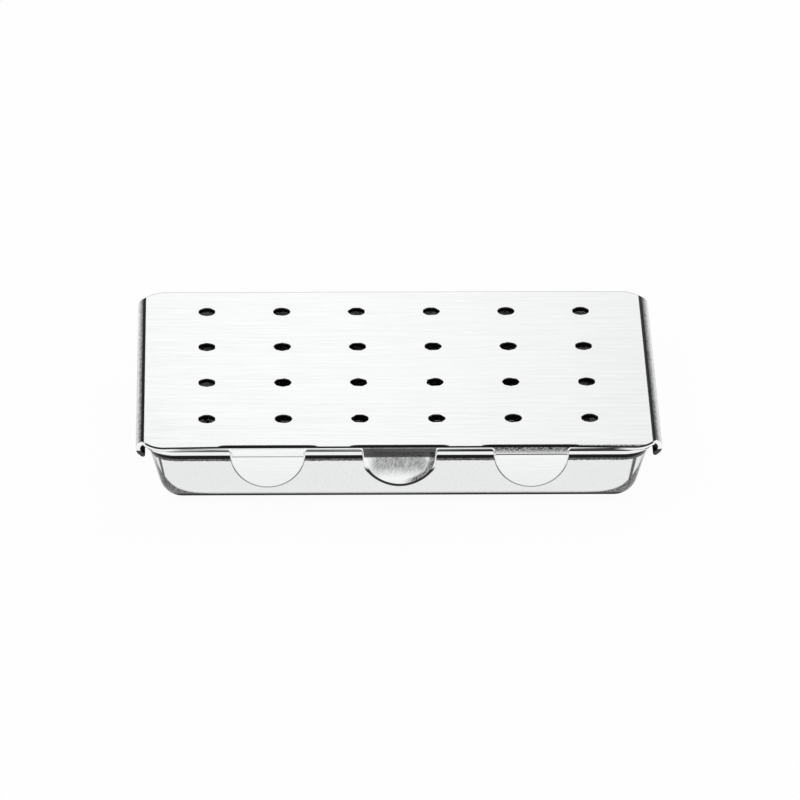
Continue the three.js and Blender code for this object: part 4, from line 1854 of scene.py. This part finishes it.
@dataclass
class BurRack:
    """The drop-in rack: a plate, two notched channels and their rivets."""

    sizes: RackSizes
    satin: Steel
    bright: Steel
    front_shank: float = 1.6
    rear_shank: float = 2.35

    def build(self) -> None:
        """Makes every piece of the rack."""
        RackPlate(self.sizes, self.satin).build()
        rivet = Rivet(self.sizes, self.bright)
        for place, side, shank in (("front", -1, self.front_shank), ("rear", 1, self.rear_shank)):
            y = side * self.sizes.comb_middle
            CombChannel(self.sizes, self.satin, place, y, shank).build()
            for i in (1, 2, 3):
                x = (i - 2) * self.sizes.rivet_pitch
                rivet.build(f"rivet_{place}_{i}", f"comb_rivet_{place}_{i}", x, y)


# Studio


@dataclass(frozen=True)
class ViewPoint:
    """The photograph's camera: its turns in degrees, and how the holes lie before it in millimetres."""

    tilt: float = 28.372
    roll: float = -0.483
    yaw: float = 1.411
    across: float = -0.782
    above: float = 7.091
    distance: float = 1585.9
    lens: float = 360.0
    sensor: float = 36.0
    nearest: float = 50.0
    aim: tuple[float, float, float] = (0.0, 1.45, 15.4)

    def place(self) -> None:
        """Makes the camera."""
        tilt, roll, yaw = (math.radians(a) for a in (self.tilt, self.roll, self.yaw))
        aside = Vector((math.cos(yaw), -math.sin(yaw), 0))
        forward = Vector((math.sin(yaw) * math.cos(tilt), math.cos(yaw) * math.cos(tilt), -math.sin(tilt)))
        upright = Vector((math.sin(yaw) * math.sin(tilt), math.cos(yaw) * math.sin(tilt), math.cos(tilt)))
        right = math.cos(roll) * aside - math.sin(roll) * upright
        up = math.sin(roll) * aside + math.cos(roll) * upright
        spot = Vector(self.aim) - self.across * right - self.above * up - self.distance * forward
        camera = linked("camera", bpy.data.cameras.new("camera"))
        camera.data.lens = self.lens
        camera.data.sensor_width = self.sensor
        camera.data.clip_start = self.nearest * MM
        axes = Matrix((right, up, -forward)).transposed().to_4x4()
        camera.matrix_world = Matrix.Translation(spot * MM) @ axes
        bpy.context.scene.camera = camera


@dataclass(frozen=True)
class Lamp:
    """A soft square lamp that looks at the box and that reflections don't show, in metres and watts."""

    name: str
    spot: tuple[float, float, float]
    size: float
    power: float

    def hang(self) -> None:
        """Makes the lamp."""
        light = bpy.data.lights.new(self.name, "AREA")
        light.size = self.size
        light.energy = self.power
        lamp = linked(self.name, light)
        lamp.location = self.spot
        lamp.rotation_euler = Vector(self.spot).to_track_quat("Z", "Y").to_euler()
        lamp.visible_glossy = False


def seen_directly(nodes: Nodes) -> Socket:
    """Tells the rays that see a surface from those that it only lights.

    Args:
        nodes: The material's nodes.

    Returns:
        A factor of 1 for camera, glossy and transmission rays, and 0 for diffuse light.
    """
    path = nodes.tree.nodes.new("ShaderNodeLightPath")
    rays = ("Is Camera Ray", "Is Glossy Ray", "Is Transmission Ray")
    return nodes.most(*[path.outputs[ray] for ray in rays])


def level(half_length: float, half_width: float, z: float = 0.0) -> list[tuple[float, ...]]:
    """The corners of a level rectangle round the middle of the box."""
    x, y = half_length, half_width
    return [(-x, -y, z), (x, -y, z), (x, y, z), (-x, y, z)]


@dataclass
class Studio:
    """A pale floor, a white surround, soft lamps, and an arch of black and white cards for the reflections.

    Lengths are in metres. Angles are in degrees, from the back horizon up and over to the front horizon.

    Attributes:
        floor_size: Side of the floor.
        floor_drop: How far it lies below the box.
        floor_white: Share of white that it shows where it is seen directly.
        floor_grey: Its colour for soft light.
        floor_roughness: Its roughness.
        floor_gloss: Its specular level.
        fill: Strength of the surround's soft light.
        radius: Radius of the arch.
        half_span: Half of its length.
        arch_steps: Steps round it.
        overhead: Angles over the box with their brightness.
        window_left: Left end of the white card behind the box, which its lid reflects.
        window_right: Right end of it.
        window_top: Angle of its top edge.
        window_reach: How far back it stands, as a share of the arch's radius.
        window_fade: Places over which it gets darker to the right, with its strengths there.
        wing_top: Angle up to which the cards beside it are pale.
        wing_fade: Angle over which they turn dark.
        wing_grey: Brightness of their pale part.
        dim_grey: Brightness of their dark part.
        front_top: Angle of the front strip's top edge.
        front_share: Share of that angle below which the strip is even.
        front_grey: Its brightness there.
        contact_half_length: Half length of the painted shadow under the box, which only reflections see.
        contact_half_width: Half width of that patch.
        contact_edge: Width in which the patch turns pale.
        contact_white: How pale it is there.
        contact_start: Distance from the patch at which it begins to turn white.
        contact_reach: Distance at which it is white.
        lamps: The lamps.
    """

    floor_size: float = 8.0
    floor_drop: float = 0.00005
    floor_white: float = 0.96
    floor_grey: float = 0.9
    floor_roughness: float = 0.9
    floor_gloss: float = 0.1
    fill: float = 0.55
    radius: float = 1.2
    half_span: float = 1.6
    arch_steps: int = 24
    overhead: tuple[tuple[float, float], ...] = (
        (37.5, 0.3), (90.0, 0.32), (97.0, 0.03), (101.0, 0.05), (109.0, 0.07), (116.0, 0.5), (119.0, 1.0),
    )
    window_left: float = -0.10
    window_right: float = 0.185
    window_top: float = 37.5
    window_reach: float = 0.98
    window_fade: Span = (-0.02, 0.185, 1.03, 0.88)
    wing_top: float = 15.0
    wing_fade: float = 2.0
    wing_grey: float = 0.7
    dim_grey: float = 0.28
    front_top: float = 14.0
    front_share: float = 0.8
    front_grey: float = 0.9
    contact_half_length: float = 0.0431
    contact_half_width: float = 0.0254
    contact_edge: float = 0.0022
    contact_white: float = 0.86
    contact_start: float = 0.008
    contact_reach: float = 0.05
    lamps: tuple[Lamp, ...] = (
        Lamp("key", (-0.6, -0.7, 1.3), 1.0, 6.0),
        Lamp("rim", (0.7, 0.9, 1.2), 0.8, 4.0),
    )

    def floor(self) -> None:
        """Makes the floor: white where it is seen directly, with the box's soft shadow."""
        half = self.floor_size / 2
        mesh = plain_mesh("floor", level(half, half), CARD_FACE)
        made = bpy.data.materials.new("pale_floor")
        made.use_nodes = True
        nodes = Nodes(made.node_tree)
        shader = nodes.tree.nodes["Principled BSDF"]
        shader.inputs["Base Color"].default_value = (self.floor_grey, self.floor_grey, self.floor_grey, 1)
        shader.inputs["Roughness"].default_value = self.floor_roughness
        shader.inputs["Specular IOR Level"].default_value = self.floor_gloss
        glow = nodes.tree.nodes.new("ShaderNodeEmission")
        glow.inputs["Color"].default_value = WHITE
        direct = nodes.product(seen_directly(nodes), self.floor_white)
        nodes.blend(direct, shader.outputs[0], glow.outputs[0], nodes.tree.nodes["Material Output"])
        mesh.materials.append(made)
        floor = linked("floor", mesh)
        floor.location.z = -self.floor_drop

    def surround(self) -> None:
        """Lights the scene softly from everywhere, and shows white where it is seen directly."""
        world = bpy.data.worlds.new("surround")
        bpy.context.scene.world = world
        world.use_nodes = True
        nodes = Nodes(world.node_tree)
        soft = nodes.tree.nodes["Background"]
        soft.inputs["Color"].default_value = WHITE
        soft.inputs["Strength"].default_value = self.fill
        white = nodes.tree.nodes.new("ShaderNodeBackground")
        white.inputs["Color"].default_value = WHITE
        white.inputs["Strength"].default_value = 1.0
        nodes.blend(seen_directly(nodes), soft.outputs[0], white.outputs[0], nodes.tree.nodes["World Output"])

    def card(
        self, name: str, points: list[tuple[float, ...]], faces: list[tuple[int, ...]]
    ) -> tuple[Nodes, bpy.types.ShaderNodeEmission, Socket]:
        """Makes a glowing card that only reflections see.

        Args:
            name: Name of the card and of its material.
            points: Its points.
            faces: Its faces.

        Returns:
            The nodes of its material, the one that glows, and the place on the card.
        """
        made = bpy.data.materials.new(name)
        made.use_nodes = True
        tree = made.node_tree
        glow = tree.nodes.new("ShaderNodeEmission")
        tree.links.new(glow.outputs[0], tree.nodes["Material Output"].inputs["Surface"])
        mesh = plain_mesh(name, points, faces)
        mesh.materials.append(made)
        card = linked(name, mesh)
        card.visible_camera = False
        card.visible_diffuse = False
        card.visible_shadow = False
        return Nodes(tree), glow, tree.nodes.new("ShaderNodeNewGeometry").outputs["Position"]

    def arch(self, name: str, left: float, right: float, levels: Sequence[tuple[float, float]]) -> None:
        """Makes a strip of a half-round arch over the box, as bright at each angle as the levels say.

        Args:
            name: Name of the strip.
            left: Its left end.
            right: Its right end.
            levels: Angles with their brightness, from the back upwards.
        """
        turns = np.radians(np.linspace(levels[0][0], levels[-1][0], self.arch_steps + 1))
        rows = [(self.radius * math.cos(t), self.radius * math.sin(t)) for t in turns]
        points = [(x, y, z) for y, z in rows for x in (left, right)]
        faces = [(2 * i, 2 * i + 1, 2 * i + 3, 2 * i + 2) for i in range(self.arch_steps)]
        nodes, glow, place = self.card(name, points, faces)
        _, y, z = nodes.parts(place)
        ramp = nodes.tree.nodes.new("ShaderNodeValToRGB")
        nodes.feed(ramp.inputs[0], nodes.maths("MULTIPLY", nodes.maths("ARCTAN2", z, y), 1 / math.pi))
        ramp.color_ramp.elements.remove(ramp.color_ramp.elements[1])
        for i, (turn, grey) in enumerate(levels):
            stop = ramp.color_ramp.elements.new(turn / HALF_TURN) if i else ramp.color_ramp.elements[0]
            stop.position = turn / HALF_TURN
            stop.color = (grey, grey, grey, 1)
        nodes.feed(glow.inputs["Color"], ramp.outputs[0])

    def window(self) -> None:
        """Makes the white card behind the box, a little darker to the right."""
        reach, top = self.radius * self.window_reach, math.radians(self.window_top)
        y, z = reach * math.cos(top), reach * math.sin(top)
        points = [(x, y, height) for x, height in (
            (self.window_left, 0), (self.window_right, 0), (self.window_right, z), (self.window_left, z),
        )]
        nodes, glow, place = self.card("back_window", points, CARD_FACE)
        nodes.feed(glow.inputs["Strength"], nodes.rise(nodes.parts(place)[0], *self.window_fade))

    def contact(self) -> None:
        """Makes a painted shadow of the box on the floor, which only reflections see: dark under the box and
        paler outwards.
        """
        reach = self.contact_reach
        half_length, half_width = self.contact_half_length, self.contact_half_width
        points = level(half_length + reach, half_width + reach, -self.floor_drop / 2)
        nodes, glow, place = self.card("contact_shade", points, CARD_FACE)
        x, y, _ = nodes.parts(place)
        squares = []
        for value, half in ((x, half_length), (y, half_width)):
            gap = nodes.maths("MAXIMUM", nodes.maths("SUBTRACT", nodes.size_of(value), half), 0.0)
            squares.append(nodes.product(gap, gap))
        away = nodes.maths("SQRT", nodes.maths("ADD", *squares))
        near = nodes.rise(away, 0.0, self.contact_edge, 0.0, self.contact_white)
        far = nodes.rise(away, self.contact_start, reach, 0.0, 1.0 - self.contact_white)
        nodes.feed(glow.inputs["Strength"], nodes.maths("ADD", near, far))

    def build(self) -> None:
        """Makes the whole studio."""
        self.floor()
        self.surround()
        self.arch("overhead", -self.half_span, self.half_span, self.overhead)
        wing = [
            (0.0, self.wing_grey), (self.wing_top, self.wing_grey),
            (self.wing_top + self.wing_fade, self.dim_grey), (self.overhead[0][0], self.dim_grey),
        ]
        self.arch("wing_left", -self.half_span, self.window_left, wing)
        self.arch("wing_right", self.window_right, self.half_span, wing)
        self.window()
        front = [
            (HALF_TURN - self.front_top, 1.0),
            (HALF_TURN - self.front_share * self.front_top, self.front_grey),
            (HALF_TURN, self.front_grey),
        ]
        self.arch("front_strip", -self.half_span, self.half_span, front)
        self.contact()
        for lamp in self.lamps:
            lamp.hang()
        bpy.context.scene.view_settings.view_transform = "Standard"
        log.info("studio ready")


def main() -> None:
    """Builds the box and its studio."""
    logging.basicConfig(level=logging.INFO, format="%(name)s %(message)s")
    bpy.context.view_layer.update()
    sizes = BoxSizes()
    # the tray and the lid get painted shade and painted reflections through their finishes
    bright = Steel("polished_tray_steel", (0.95, 0.955, 0.96), 0.12, Grain.UPRIGHT, PaintedTrayShade().shade)
    brushed = Steel("brushed_lid_steel", (0.965, 0.97, 0.975), 0.14, Grain.ALONG_X, LidShade().shade)
    satin = Steel("satin_rack_steel", (0.72, 0.725, 0.735), 0.24, Grain.ALONG_X)
    rivet_steel = Steel("bright_rivet_steel", (0.84, 0.845, 0.85), 0.2, Grain.UPRIGHT)
    tongue_pitch = 25.65
    left_tongue = Tongue(-tongue_pitch, facet_angle=46.0)
    right_tongue = Tongue(tongue_pitch, length=9.7, facet=1.2, facet_angle=43.5)
    finger_pull = Tongue(
        0.0, length=8.886, facet=2.0, facet_angle=38.0, knee_angle=86.0, tip_angle=72.0, dish=1.4,
        root_fillet=0.3,
    )
    SlidingLid(sizes, brushed, tongues=[left_tongue, finger_pull, right_tongue]).build()
    tray = DrawnTray(sizes, bright)
    tray.build()
    inset = tray.bend_centre()[0]
    rack = RackSizes(sizes, sizes.rim_half_length - inset, sizes.rim_half_width - inset)
    BurRack(rack, satin, rivet_steel).build()
    Studio().build()
    ViewPoint().place()


if __name__ == "__main__":
    main()
